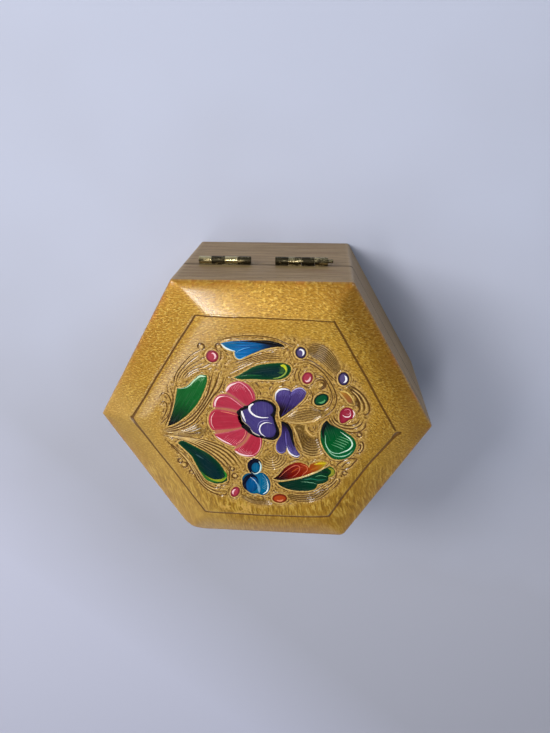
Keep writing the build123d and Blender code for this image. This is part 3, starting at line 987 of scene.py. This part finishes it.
def feather_leaf():
    p = Painting("feather_leaf", enamel("flame_enamel", 0.2))
    flame = [(3.3, -22.7), (5.4, -20.8), (7.2, -18.2), (9.6, -16.2), (12.2, -15.2), (14.4, -15.6),
             (15.8, -16.5)]
    flag = [(16.3, -17.2), (16.8, -15.9), (18.7, -14.9), (20.9, -14.4)]
    vein = [(22.7, -14.9), (20.9, -17.2), (18.0, -19.1), (12.2, -21.8), (6.5, -23.2)]
    red = by_place((0, (26, 4, 6)), (0.14, (36, 4, 6)), (0.3, (100, 11, 8)), (0.5, (136, 26, 10)),
                   (0.66, (154, 54, 14)), (0.8, (164, 84, 18)), (0.92, (176, 146, 20)), (1, (194, 172, 28)))
    p.patch(loop(flame, flag, vein), red, ((3.3, -22.7), (22.7, -15.8)))
    top = [(4.7, -24.2), (9.5, -23.2), (14.4, -21.7), (18.4, -19.7), (21.4, -17.7)]
    tip = [(23.4, -16.3), (24.9, -17.0), (25.6, -18.8), (24.8, -20.5)]
    second = [(23.4, -21.2), (23.2, -22.6), (21.6, -23.8)]
    third = [(19.6, -24.3), (18.8, -26.2), (16.6, -27.3), (12.6, -27.6), (8.4, -26.9), (6.0, -25.6)]
    green = by_place((0, (4, 38, 28)), (0.4, (2, 48, 32)), (0.7, (3, 58, 36)), (0.86, (4, 50, 26)),
                     (1, (26, 90, 28)))
    p.patch(loop(top, tip, second, third), green, ((4.7, -24.2), (25.6, -18.6)))
    p.stroke([(5.6, -21.9), (8.8, -18.4), (11.4, -16.6), (13.0, -17.2), (12.4, -19.6), (10.4, -21.6)], 0.3,
             (232, 124, 92))
    p.stroke([(13.2, -16.0), (15.4, -16.8), (15.6, -18.6), (13.8, -20.6)], 0.3, (236, 132, 84))
    p.stroke([(9.8, -19.8), (12.2, -17.8), (14.2, -17.2)], 0.5, (184, 72, 22))
    p.stroke([(16.6, -18.4), (19.2, -17.0), (21.4, -15.6)], 0.8, (178, 100, 22))
    p.stroke([(18.0, -15.8), (20.2, -15.3), (22.3, -15.3)], 0.9, (216, 188, 28))
    p.stroke([(5.6, -23.3), (9.8, -22.7), (14.6, -21.3), (19.4, -18.9), (23.0, -16.2)], 0.42,
             (196, 180, 122), lift=0.02)
    p.stroke([(23.0, -17.0), (24.5, -17.9), (24.6, -19.5), (23.2, -20.8)], 1.5, (146, 146, 44))
    p.stroke([(20.2, -19.2), (22.4, -18.8), (23.6, -19.4)], 0.9, (2, 34, 28))
    p.stroke([(14.6, -22.6), (17.2, -22.0), (19.8, -22.4), (22.4, -22.0)], 0.5, (30, 122, 92), 0.4)
    p.stroke([(13.4, -23.4), (17.0, -23.6), (19.4, -24.2)], 0.3, (120, 176, 140))
    p.stroke([(22.8, -20.9), (20.6, -20.4), (18.6, -20.9)], 0.28, (110, 180, 130))
    return p


def berries():
    """The small round fruits, each with a dark rim and a pale crescent of light."""
    p = Painting("berries", enamel("berry_enamel", 0.06))
    pink = ((128, 34, 54), (174, 60, 76), (246, 200, 204))
    violet = ((38, 28, 52), (88, 78, 124), (246, 244, 248))
    green = ((3, 36, 28), (8, 80, 46), (92, 160, 104))
    orange = ((112, 28, 12), (172, 66, 24), (226, 140, 96))
    kinds = [
        ((-16.4, 25.1), 2.15, 2.25, 0, pink, -60, 100),
        ((15.1, 18.1), 1.85, 2.3, -16, pink, -120, 40),
        ((-10.6, -29.2), 1.6, 2.5, -24, pink, 110, 260),
        ((12.8, 27.2), 1.85, 2.15, 8, violet, -70, 120),
        ((27.0, 18.2), 1.9, 2.5, 6, violet, -100, 70),
        ((19.9, 10.2), 2.75, 2.1, 40, green, -170, -40),
        ((5.8, -31.3), 2.8, 2.05, 8, orange, -150, -20),
    ]
    for centre, wide, high, tilt, (dark, light, glint), start, end in kinds:
        p.patch(oval(centre, wide, high, tilt), by_rim((0, dark), (0.45, dark), (0.8, light)))
        crescent = arc(centre, (wide * 0.48, high * 0.52), start, end, tilt)
        p.stroke(even(crescent, 0.2), 0.94, glint, smoothed=False)
    heart = [(26.1, 4.0), (26.4, 6.0), (27.6, 7.3), (29.2, 7.6), (30.7, 6.7), (31.4, 5.0), (30.9, 3.4),
             (29.4, 2.6), (28.0, 1.4), (26.6, 1.6)]
    p.patch(round_loop(heart), by_rim((0, (118, 26, 46)), (0.8, (152, 34, 58)), (2, (158, 48, 66))))
    p.stroke([(27.2, 4.6), (28.4, 3.9), (29.7, 4.2), (30.0, 5.6)], 0.5, (252, 220, 224), 0.4)
    p.stroke([(30.6, 6.6), (31.2, 5.2), (30.7, 3.6)], 0.6, (250, 222, 214))
    p.stroke([(27.6, 6.4), (28.8, 6.9), (29.8, 6.2), (29.4, 5.0), (28.4, 5.2)], 0.24, (240, 150, 168))
    return p


def amber_accent():
    """A crescent of amber and olive glaze over the lower right berry."""
    p = Painting("amber_accent", enamel("amber_enamel", 0.2))
    amber = by_place((0, (196, 150, 66)), (0.3, (164, 108, 44)), (0.7, (150, 88, 46)), (1, (118, 104, 52)))
    outer = [(25.8, 13.4), (27.2, 13.5), (29.2, 12.2), (30.5, 10.2)]
    p.patch(loop(outer, [(30.8, 8.6), (29.2, 9.2), (27.8, 11.0)]), amber, ((25.8, 13.4), (30.8, 8.6)))
    p.stroke([(26.2, 13.6), (28.2, 13.2), (30.0, 11.4), (30.9, 9.4)], 0.5, (224, 190, 104))
    return p


def carve_ornament():
    """The flowing lines between the painted shapes."""
    # From the point at the left: over to the flower, down the dark leaf, and below it
    cut_bundle(
        [(-36.2, -4.0), (-30.4, -2.0), (-25.6, 1.3), (-21.9, 5.4), (-18.9, 10.4), (-17.4, 15.6),
         (-16.0, 20.8)],
        [(-36.0, -4.7), (-29.6, -3.4), (-24.4, -0.6), (-20.4, 4.8), (-17.3, 9.6), (-14.2, 13.6),
         (-12.4, 18.6)],
        3,
    )
    cut_bundle(
        [(-35.4, -4.8), (-29.0, -3.9), (-24.2, -1.6), (-20.4, 2.2)],
        [(-35.6, -5.3), (-28.4, -6.0), (-21.4, -6.2)],
        5, width=0.5, ragged=0.25,
    )
    zone([(-31.6, -4.9), (-27.7, -3.5), (-23.1, -1.1), (-20.7, -2.7), (-19.2, -4.6), (-23.4, -6.0),
          (-28.4, -6.3)], 0.75)
    cut_bundle(
        [(-35.8, -5.6), (-27.9, -6.6), (-20.9, -7.5), (-14.8, -9.6), (-10.6, -12.8), (-7.4, -17.6)],
        [(-35.2, -6.3), (-28.5, -7.6), (-23.4, -9.8), (-18.4, -13.4), (-14.6, -17.2), (-12.4, -20.4)],
        5, width=0.8, ridge=1.0,
    )
    nest([
        [(-34.9, -7.9), (-31.4, -11.8), (-28.4, -15.4), (-25.4, -21.5), (-24.0, -25.1), (-20.6, -29.0),
         (-16.5, -31.0), (-14.1, -30.6), (-13.8, -29.3), (-15.0, -28.6)],
        [(-33.0, -9.3), (-30.2, -12.6), (-27.4, -16.4), (-24.4, -22.1), (-22.5, -26.0), (-19.0, -28.8),
         (-15.4, -29.7)],
        [(-29.4, -12.6), (-26.4, -17.4), (-23.3, -22.9), (-21.4, -25.9), (-18.4, -27.7), (-15.8, -27.5),
         (-16.6, -28.6)],
    ])
    groove([(-13.6, -16.4), (-12.5, -19.4), (-12.4, -23.0), (-13.3, -25.9), (-15.1, -26.6), (-16.4, -26.4)],
           0.6)
    for centre, radius, start, turns in [
        ((-30.1, -16.6), 0.95, 60, 0.95),
        ((-28.8, -18.3), 1.2, 100, -0.75),
        ((-26.3, -21.3), 0.85, 200, -0.85),
        ((-11.3, -19.1), 0.9, 100, 0.95),
        ((-10.4, -22.2), 1.15, 60, 0.98),
        ((33.4, -3.0), 0.9, 180, 0.98),
        ((29.0, -19.2), 0.95, 0, 0.98),
        ((19.6, 15.7), 1.9, 140, -0.75),
        ((19.9, 15.6), 0.9, 100, -0.6),
        ((-20.0, 28.4), 1.2, 300, 0.8),
        ((-14.0, 28.6), 1.1, 220, -0.7),
    ]:
        cut(curl(centre, radius, start, turns, 0.8), 0.86, 0.24, fade=(0.1, 0.2))
        pale_line(curl(centre, radius * 0.35, start, 0.9), 0.6, 0.6)
    nest([
        [(33.3, -6.0), (34.5, -5.9), (35.0, -7.3), (34.8, -9.3), (33.6, -10.6), (32.3, -10.7)],
        [(33.3, -7.4), (34.0, -7.2), (34.0, -8.8), (33.2, -9.6)],
    ])
    nest([
        [(26.2, -17.2), (26.4, -15.6), (28.8, -13.5), (31.7, -12.8), (33.0, -13.3), (31.9, -14.8),
         (31.1, -16.2), (28.9, -17.5), (26.8, -17.2)],
        [(28.0, -16.6), (29.1, -15.0), (30.8, -14.2)],
    ])

    # Hooks beside the left leaf, and the plume over it
    groove([(-35.8, 8.8), (-34.2, 10.8), (-32.2, 9.8), (-31.6, 6.4), (-32.9, 2.2), (-36.2, -1.6)], 0.55)
    groove([(-35.5, 6.4), (-34.4, 7.6), (-33.2, 6.6), (-33.6, 3.6), (-35.6, 0.2)], 0.5)
    groove([(-31.4, 13.2), (-30.8, 8.4), (-32.0, 3.2), (-34.4, -2.2)], 0.45)
    cut_bundle(
        [(-30.4, 13.8), (-29.0, 18.4), (-25.6, 23.0), (-22.4, 26.0), (-19.0, 27.6)],
        [(-26.6, 15.4), (-24.2, 18.2), (-21.2, 19.8), (-17.8, 20.4), (-14.6, 22.6)],
        6, width=0.5, ragged=0.18, ridge=0.25, stain=0.7,
    )

    # Over and under the wing leaf
    groove([(-14.4, 31.0), (-8.2, 32.3), (-2.0, 32.7), (4.0, 32.0), (8.2, 30.2), (10.8, 28.8)], 0.45)
    cut_bundle(
        [(-12.6, 21.6), (-9.4, 22.8), (-4.4, 24.6), (1.6, 26.4), (8.6, 27.4)],
        [(-11.4, 18.6), (-7.8, 20.6), (-2.6, 23.4), (3.0, 24.8), (9.6, 24.6)],
        4, width=0.5, ragged=0.15, ridge=0.2, stain=0.6,
    )

    # The plume between the violet berries, and the ring inside it
    cut_bundle(
        [(14.4, 29.4), (18.0, 30.4), (21.6, 28.8), (24.2, 25.6), (26.0, 21.8)],
        [(15.2, 26.6), (18.0, 25.2), (21.2, 22.6), (24.8, 19.0)],
        9, width=0.46, ragged=0.04, ridge=0.24, stain=0.46,
    )
    zone([(14.6, 28.4), (17.6, 30.6), (21.4, 28.8), (24.4, 25.2), (26.0, 21.4), (24.0, 20.4), (20.6, 23.4),
          (16.6, 25.6)], 0.86)
    groove([(12.6, 24.6), (15.6, 24.6), (18.8, 22.6), (21.8, 20.0), (24.8, 17.0)], 0.5)
    groove([(12.4, 23.6), (15.4, 23.6), (19.6, 20.9), (23.0, 16.4), (24.9, 11.8), (24.6, 7.8), (22.2, 4.6),
            (18.6, 2.0)], 0.6)
    groove([(17.4, 19.6), (20.4, 18.4), (22.6, 14.6), (23.6, 11.4), (23.0, 8.2), (20.8, 6.0), (17.6, 6.6)],
           0.5)
    groove([(12.0, 22.0), (10.9, 19.0), (11.4, 16.2)], 0.45)
    groove([(13.0, 21.6), (12.2, 19.2), (12.6, 16.8)], 0.4)
    groove([(16.2, 13.8), (17.0, 11.2), (16.6, 8.4)], 0.45)

    # Plumes round the lower right pink berry
    nest([
        [(29.1, 15.9), (31.9, 14.1), (34.3, 11.6), (35.9, 8.5), (36.2, 6.2), (35.2, 4.9), (34.0, 5.4)],
        [(29.2, 14.6), (32.0, 12.5), (33.8, 9.9), (34.5, 7.7), (34.3, 6.2)],
        [(29.6, 13.8), (31.5, 11.6), (32.6, 9.0), (32.9, 7.0), (32.2, 5.4)],
    ], 0.86)
    zone([(27.6, 16.2), (29.4, 15.8), (32.0, 13.9), (33.6, 11.6), (33.4, 9.2), (32.4, 7.6), (31.2, 9.0),
          (30.9, 11.6), (28.8, 13.8)], 1.0)
    nest([
        [(22.6, 3.4), (23.8, 0.9), (26.3, -0.9), (29.9, -2.2), (32.6, -2.1), (34.9, -0.3), (35.3, 2.4)],
        [(23.4, 3.6), (24.8, 1.1), (27.7, -0.5), (31.1, -0.7), (33.4, 0.6), (34.4, 2.6)],
        [(24.3, 4.2), (25.1, 2.3), (27.4, 0.8), (30.3, 0.5), (32.4, 1.5), (33.2, 3.1)],
    ], 0.72, 0.9)
    zone([(27.4, 0.9), (30.6, 0.8), (32.6, 1.8), (33.4, 0.6), (31.0, -0.8), (27.8, -0.6)], 0.5)

    # The long leaf of fine lines, and the nested rings beside and under the flower
    cut_bundle(
        [(7.6, 2.6), (11.0, 6.2), (15.8, 7.6), (20.4, 5.2)],
        [(7.6, 1.4), (11.6, 0.4), (16.8, 1.4), (20.8, 4.4)],
        8, width=0.46, ragged=0.1, ridge=0.34, stain=0.46,
    )
    zone([(8.4, 2.2), (12.5, 5.7), (17.2, 7.0), (20.8, 6.4), (22.2, 5.2), (21.0, 3.9), (17.3, 2.2),
          (12.5, 1.5)], 0.74)
    pale_line(smooth([(7.4, 1.4), (12.0, 0.7), (17.0, 1.6), (21.4, 4.0)]), 0.5, 0.8)
    pale_line(smooth([(14.9, 0.4), (15.0, -1.5), (15.8, -2.8), (17.2, -4.1), (18.6, -3.5)]), 0.62, 0.9)
    groove([(16.0, -0.4), (15.9, -1.6), (16.8, -2.3), (17.9, -2.7)], 0.8, depth=0.16, stain=0.6)
    groove([(17.9, -1.7), (18.3, -0.8), (18.5, 0.2)], 0.7, depth=0.16, stain=0.6)
    for i in range(2, 9):
        radius = 1.0 + 0.95 * i
        reach = (radius * 0.84, radius * 1.06)
        cut(arc((17.4, -3.0), reach, 190 - 3 * i, 330 - 2 * i), 0.5, stain=0.46)
        pale = (reach[0] + 0.4, reach[1] + 0.5)
        pale_line(arc((17.4, -3.0), pale, 236, 316 - 2 * i), 0.42, 0.09 * i - 0.04)
    zone([(10.9, -0.2), (14.4, 0.2), (15.0, -3.0), (17.2, -4.8), (19.2, -4.4), (19.8, -9.6), (18.4, -12.6),
          (15.6, -12.0), (13.4, -9.6), (12.2, -5.4)], 0.96)
    pale_line(smooth([(10.7, -0.9), (12.0, -4.6), (13.1, -8.0), (14.2, -11.2)]), 0.8, 0.8)
    for i in range(6):
        radius = 0.8 + 0.95 * i
        cut(arc((2.8, -12.8), (radius, radius * 1.02), 190 + 6 * i, 380 - 4 * i), 0.62, stain=0.46)
        pale_line(arc((2.8, -12.8), (radius + 0.48, radius + 0.48), 230, 350), 0.4, 0.5)
    zone([(-0.4, -13.6), (2.0, -12.0), (5.0, -12.0), (8.0, -13.4), (7.0, -16.4), (3.4, -18.4),
          (0.0, -17.0)], 0.3)

    # Below the bud and the feather leaf
    cut_bundle(
        [(-8.8, -30.0), (-5.0, -32.4), (0.4, -33.0), (2.6, -32.2)],
        [(-8.0, -31.8), (-4.0, -34.0), (0.6, -34.6), (3.4, -33.6)],
        4, width=0.46, ridge=0.3,
    )
    zone([(-8.8, -30.0), (-6.0, -30.6), (-2.9, -31.2), (0.4, -31.9), (2.4, -33.4), (-1.0, -34.4),
          (-4.0, -34.0), (-7.4, -32.4)], 0.85)
    cut_bundle(
        [(8.8, -28.3), (13.2, -28.8), (17.8, -27.8), (21.0, -25.2), (22.6, -23.2)],
        [(8.6, -31.4), (14.4, -32.4), (19.6, -31.2), (23.2, -28.2), (24.4, -25.2)],
        5, width=0.5, ridge=0.3,
    )
    zone([(9.0, -28.8), (13.2, -29.2), (17.8, -28.3), (21.6, -25.8), (23.8, -26.4), (19.6, -31.0),
          (14.4, -32.2), (9.2, -31.2)], 0.92)
    nest([
        [(19.7, -27.4), (23.2, -26.0), (25.4, -23.8), (26.7, -21.6), (27.5, -22.6), (26.4, -24.8),
         (24.8, -26.6)],
        [(22.6, -25.2), (24.8, -23.2), (26.0, -20.8), (25.9, -18.4)],
    ], 0.7)


def stipple():
    """Short random strokes that fill the ground where no line or paint is."""
    taken = tree_of([point for line in [c[0] for c in cuts] + outlines for point in line])
    field = smooth(
        [(-36, -4), (-33, 12), (-24, 25), (-12, 31), (4, 32.5), (18, 30.5), (28, 22), (35, 11), (35.5, 0),
         (34, -10), (29, -19), (21, -30), (6, -34), (-9, -32), (-20, -29), (-29, -18), (-36, -5)]
    )
    spots = np.array([(chance.uniform(-36, 36), chance.uniform(-35, 33)) for _ in range(STIPPLE_TRIES)])
    free = within(field, spots)
    for rim in outlines:
        free &= ~within(rim, spots)
    nearest, farthest = STIPPLE_GAPS
    for spot in spots[free]:
        near, _, gap = taken.find((*spot, 0))
        if not nearest < gap < farthest:
            continue
        away = (spot - np.array(near)[:2]) / gap
        reach = left_of(away) * chance.uniform(0.7, 1.5) / 2
        line = np.array([spot - reach, spot + away * 0.12, spot + reach])
        # Some strokes are pale lines of bare wood and painted highlight, the rest are cuts
        if chance.random() < 0.35:
            pale_line(line, 0.5, 0.5, fade=(0.5, 0.5))
        else:
            cut(line, chance.uniform(0.42, 0.62), 0.1, 0.85, fade=(0.5, 0.5))


def trim_paint():
    """Pale bare wood just outside each painted shape, with painted highlight that makes it strongest on the
    front and left sides, and a fine cut.
    """
    for rim in outlines:
        outward = outward_of(rim)
        lit_side = np.clip(0.35 - 0.75 * outward[:, 1] - 0.2 * outward[:, 0], 0.25, 1)
        for gap, depth, stain, bare_and_sheen in ((0.22, 0.03, 0.0, 1.0), (0.7, 0.09, 0.42, 0.0)):
            line = rim + outward * gap
            open_air = np.ones(len(line), bool)
            for other in outlines:
                open_air &= ~within(other, line)
            run = []
            for i in [*range(len(line)), 0]:
                if open_air[i]:
                    run.append(line[i])
                if len(run) > 2 and (len(run) > 8 or not open_air[i] or i == len(line) - 1):
                    cut(np.array(run), TRIM_WIDTH, depth, stain, bare_and_sheen * lit_side[i], fade=(0, 0))
                    run = run[-1:]
                if not open_air[i]:
                    run = []


def carve_frame():
    """The framing hexagon, in lines that thicken where the cutter was set down."""
    c = {name: np.array(place) for name, place in FRAME_CORNERS.items()}
    sides = [
        (c["left"], c["upper_left"], 1.3, 0.8, 0.0),
        (c["upper_left"], c["upper_right"], 0.5, 0.5, 0.0),
        (c["upper_right"], c["right"], 0.8, 1.0, 0.0),
        (c["right_again"], c["lower_right"], 1.6, 1.1, -0.9),
        (c["lower_right"], c["lower_left"], 1.1, 0.9, 0.5),
        (c["left"], c["lower_left"], 1.6, 0.85, 0.0),
    ]
    for start, end, first, last, bow in sides:
        length = np.linalg.norm(end - start)
        t = np.linspace(0, 1, round(length / 0.8))
        wander = 0.09 * np.sin(7.1 * t + start[0]) + 0.05 * np.sin(17.0 * t + end[1]) + bow * 4 * t * (1 - t)
        line = start + np.outer(t, end - start) + np.outer(wander, left_of(end - start) / length)
        half = (last + (first - last) * np.exp(-t * 7)) / 2
        cuts.append((line, half, 0.08 + 0.2 * half, FRAME_STAIN, 0.0))

    # Where the cutter slipped at the right corner, and a pale line of bare wood and painted highlight behind
    # the upper side
    blob = even(c["right_again"] + np.array([(0.5, 0.3), (-0.2, 0.1), (-0.7, -0.5), (-1.5, -1.6)]), 0.3)
    cuts.append((blob, np.linspace(1.05, 0.4, len(blob)), np.full(len(blob), 0.3), FRAME_STAIN, 0.0))
    top = np.array([c["upper_left"], (c["upper_left"] + c["upper_right"]) / 2, c["upper_right"]])
    cut(even(top + (0.0, 0.55), 0.8), 0.22, 0.08, 0.0, bare_and_sheen=0.7)


def edge_rings(outline, outward):
    """Rings of points from the top's rim, over the arris and down to the underside."""
    rings = []
    for roll in (math.radians(degrees) for degrees in ARRIS_STEPS):
        inset = ARRIS_ROUNDING * (1 - math.cos(roll))
        drop = ARRIS_ROUNDING * (1 - math.sin(roll))
        places = outline - outward * inset
        rings.append(np.column_stack([places, lid_height(places) - drop]))
    for inset, height in ((0.0, PANEL_BOTTOM + SEAM_DEPTH), (SEAM_DEPTH, PANEL_BOTTOM)):
        rings.append(np.column_stack([outline - outward * inset, np.full(len(outline), height)]))
    return rings


def cut_marks():
    """A tree of places along the cuts, and the half width, depth, stain and bareness at each."""
    marks, values = [], []
    for line, half, depth, stain, bare_and_sheen in cuts:
        for i in range(len(line) - 1):
            for share in np.linspace(0, 1, 4, endpoint=False):
                marks.append(line[i] + (line[i + 1] - line[i]) * share)
                wide = half[i] + (half[i + 1] - half[i]) * share
                values.append((wide, depth[i] + (depth[i + 1] - depth[i]) * share, stain, bare_and_sheen))
    return tree_of(marks), np.array(values)


def panel_top(rim, marks):
    """The top's points, triangles and origins, with edges along both sides and the middle of each cut."""
    flat, edges, count = [rim], [], len(rim)
    for line, half, *_ in cuts:
        aside = aside_of(line) * half[:, None]
        for way in (line - aside, line, line + aside):
            flat.append(way)
            edges += [(i, i + 1) for i in range(count, count + len(way) - 1)]
            count += len(way)
    between = clear_inside(rim, lattice((-58, -50), (58, 50), PANEL_STEP), PANEL_STEP / 2)
    flat.append(between[[marks.find((*place, 0))[2] > 0.45 for place in between]])
    return triangulate(np.vstack(flat), edges, len(rim), 1e-3)


def carving_at(places, marks, values):
    """How deep each point of the top is cut, and the layers of values that colour it."""
    depth, stain, bare_and_sheen, ground, glazed = np.zeros((5, len(places)))
    for i, place in enumerate(places):
        nearest = marks.find((*place, 0))[2]
        ground[i] = np.clip(GROUND_REACH - nearest, 0, 1)
        if nearest > WIDEST_HALF:
            continue
        for _, j, gap in marks.find_range((*place, 0), WIDEST_HALF):
            half, deep, dark, light = values[j]
            share = 1 - gap / half
            if share > 0.02:
                depth[i] = max(depth[i], deep * share)
                stain[i] = max(stain[i], dark * min(1.0, share * 1.6))
                bare_and_sheen[i] = max(bare_and_sheen[i], light * min(1.0, share * 1.6))

    # The ground ends short of the framing hexagon
    x, y = np.abs(places).T
    ground[(x >= 38) | (y >= 36) | (x * 0.866 + y * 0.5 >= 36.5)] = 0
    for rim, share in zones:
        inside = within(rim, places)
        soft = np.clip(distance_to(rim, places[inside], closed=True) / ZONE_SOFTNESS, 0, 1)
        glazed[inside] = np.maximum(glazed[inside], share * soft)
    return depth, {"stain": stain, "bare_and_sheen": bare_and_sheen, "ground": ground, "zone": glazed}


def lid_panel(materials):
    """The lid's board: top with carving, rounded arris, upright edge and underside."""
    outline, outward = box_outline(PANEL_STEP)
    rings = edge_rings(outline, outward)
    marks, values = cut_marks()
    places, triangles, origins = panel_top(rings[0][:, :2], marks)
    depth, layers = carving_at(places, marks, values)
    top = np.column_stack([places, lid_height(places) - depth])
    points = np.vstack([top, *rings[1:]])

    # Faces from ring to ring. The first ring's points are those of the top's rim.
    count = len(outline)
    on_rim = {j: i for i, origin in enumerate(origins) for j in origin if j < count}
    faces, slots = [list(face) for face in triangles], [0] * len(triangles)
    for row in range(len(rings) - 1):
        for i in range(count):
            j = (i + 1) % count
            a, b = (len(top) + row * count + k for k in (i, j))
            c, d = (on_rim[j], on_rim[i]) if row == 0 else (b - count, a - count)
            faces.append([d, a, b, c])
            side = int(math.degrees(math.atan2(*(outward[i] + outward[j])[::-1])) // 60) % 6
            slots.append(0 if row < LACQUERED_ROWS else 1 + side)
    faces.append([len(points) - count + i for i in reversed(range(count))])
    slots.append(len(materials) - 1)

    piece = new_mesh("lid_panel_carved", points, faces, materials, sharp=24)
    piece.data.polygons.foreach_set("material_index", slots)
    carry(piece, "edge_distance", "FLOAT", distance_to(outline, points[:, :2], closed=True))
    for name, layer in layers.items():
        carry(piece, name, "FLOAT", np.concatenate([layer, np.zeros(len(points) - len(top))]))
    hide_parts("lid_panel")
    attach(piece, "lid")


def assign(material, *nodes):
    for node in nodes:
        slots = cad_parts[node].data.materials
        slots.clear()
        slots.append(material)


def finish_nodes(walls, inside):
    """Materials for the CAD nodes that stay."""
    sides = ("back_right", "back", "back_left", "front_left", "front", "front_right")
    for side, material in zip(sides, walls):
        assign(material, f"base_wall_{side}", f"lid_rim_{side}")
    assign(inside, "bottom_panel")
    # The brasses differ in how much tarnish and painted dark reflection they carry
    assign(brass("brass_bright", 0.38), "left_hinge_base_leaf")
    assign(
        brass("brass_mixed", 0.66),
        "right_hinge_lid_leaf", "left_hinge_pin", "right_hinge_pin", "base_hinge_brads", "lid_hinge_brads",
    )
    assign(brass("brass_dull", 0.88), "left_hinge_lid_leaf", "right_hinge_base_leaf")


def stage():
    """A pale floor under the box, with painted shade towards the front and painted light far to the front
    left.
    """
    s = Shader("pale_floor", Roughness=0.9, Specular_IOR_Level=0.2)
    x, y, _ = s.split(s.place)
    # Painted shade: darker towards the front. Painted light: paler far to the front left.
    shade_run = y + s.mottle(0.012, 2.0, 0.3, 0.7, -50.0, 50.0)
    s.start(s.span(shade_run, -130.0, 110.0), (176, 178, 192), (190, 195, 214))
    s.tint(s.span(x + y, -160.0, -270.0, 0.0, 0.8), 200, 203, 224)
    s.set("Base Color", s.colour)

    # Beyond the lamps' reach the camera alone sees it as pale as it is near the box
    away = s.math("SQRT", x * x + y * y)
    seen = s.value("LightPath", {}, "Is Camera Ray")
    s.set("Emission Color", srgb(222, 228, 240))
    s.set("Emission Strength", seen * s.span(away, 500.0, 2000.0, 0.0, 0.46))
    corners = [(FLOOR_REACH * i, FLOOR_REACH * j, 0) for i, j in ((-1, -1), (1, -1), (1, 1), (-1, 1))]
    new_mesh("floor", corners, [[0, 1, 2, 3]], [s.material])


def soft_light(name, place, target, size, power, colour):
    lamp = bpy.data.lights.new(name, "AREA")
    lamp.shape = "RECTANGLE"
    lamp.size, lamp.size_y = size
    lamp.energy = power
    lamp.color = colour
    item = add_object(name, lamp)
    item.location = place
    item.rotation_euler = (Vector(place) - Vector(target)).to_track_quat("Z", "Y").to_euler()


def lights():
    """A window at the left, two long soft lamps over the box, and a weak fill at the right.

    Lamps are placed and sized in metres, and their power is in watts.
    """
    for name, place, target, size, power, colour in (
        ("window", (-0.9, 0.52, 0.8), (0, 0, 0.05), (0.55, 0.55), 12.6, (1.0, 0.98, 0.95)),
        ("sheen", (-0.19, 0.16, 0.8), (0, 0.187, 0.05), (0.54, 0.06), 2.35, (1.0, 0.99, 0.98)),
        ("front_sheen", (-0.33, -0.27, 0.8), (-0.42, -0.05, 0.05), (0.38, 0.13), 0.54, (1.0, 0.99, 0.97)),
        ("fill", (0.62, 0.68, 0.6), (0, 0, 0.03), (0.5, 0.5), 2.7, (0.76, 0.87, 1.0)),
    ):
        soft_light(name, place, target, size, power, colour)


def room():
    """Light from all round, dim overhead except at the left, which keeps the lid deep in colour."""
    world = bpy.data.worlds.new("room")
    world.use_nodes = True
    sky = world.node_tree.nodes["Background"]
    sky.inputs["Color"].default_value = (0.88, 0.92, 1.0, 1.0)
    n = Nodes(world.node_tree)
    x, _, z = n.split(n.value("TexCoord", {}, "Generated"))
    overhead = n.span(x, -0.98, -0.74) * n.span(z, 0.16, 0.46)
    n.feed(sky.inputs["Strength"], n.span(overhead, 0.0, 1.0, 0.7, 0.08))
    bpy.context.scene.world = world


def camera():
    """The camera, from the perspective of the photographed box."""
    view = bpy.data.cameras.new("camera")
    view.lens = 28.77
    view.sensor_width = 36.0
    view.clip_start, view.clip_end = 0.01, 20.0
    item = add_object("camera", view)
    right = (0.99697695, -0.00542017, -0.07750864)
    up = (-0.02747613, 0.90851321, -0.41695182)
    back = (0.07267757, 0.41782099, 0.9056178)
    place = (0.018393, 0.102659, 0.232406)
    item.matrix_world = Matrix([*zip(right, up, back, place), (0, 0, 0, 1)])
    bpy.context.scene.camera = item


walls = [wall_wood(side) for side in range(6)]
inside = inside_wood()
for motif in (
    pink_flower, violet_petals, violet_centre, left_leaf, lower_left_leaf, top_leaf, blue_wing, blue_bud,
    teardrop_leaf, feather_leaf, berries, amber_accent,
):
    motif().build()
carve_ornament()
stipple()
carve_frame()
trim_paint()
lid_panel([lid_wood(), *walls, inside])
finish_nodes(walls, inside)
stage()
lights()
room()
camera()
bpy.context.scene.view_settings.view_transform = "Standard"
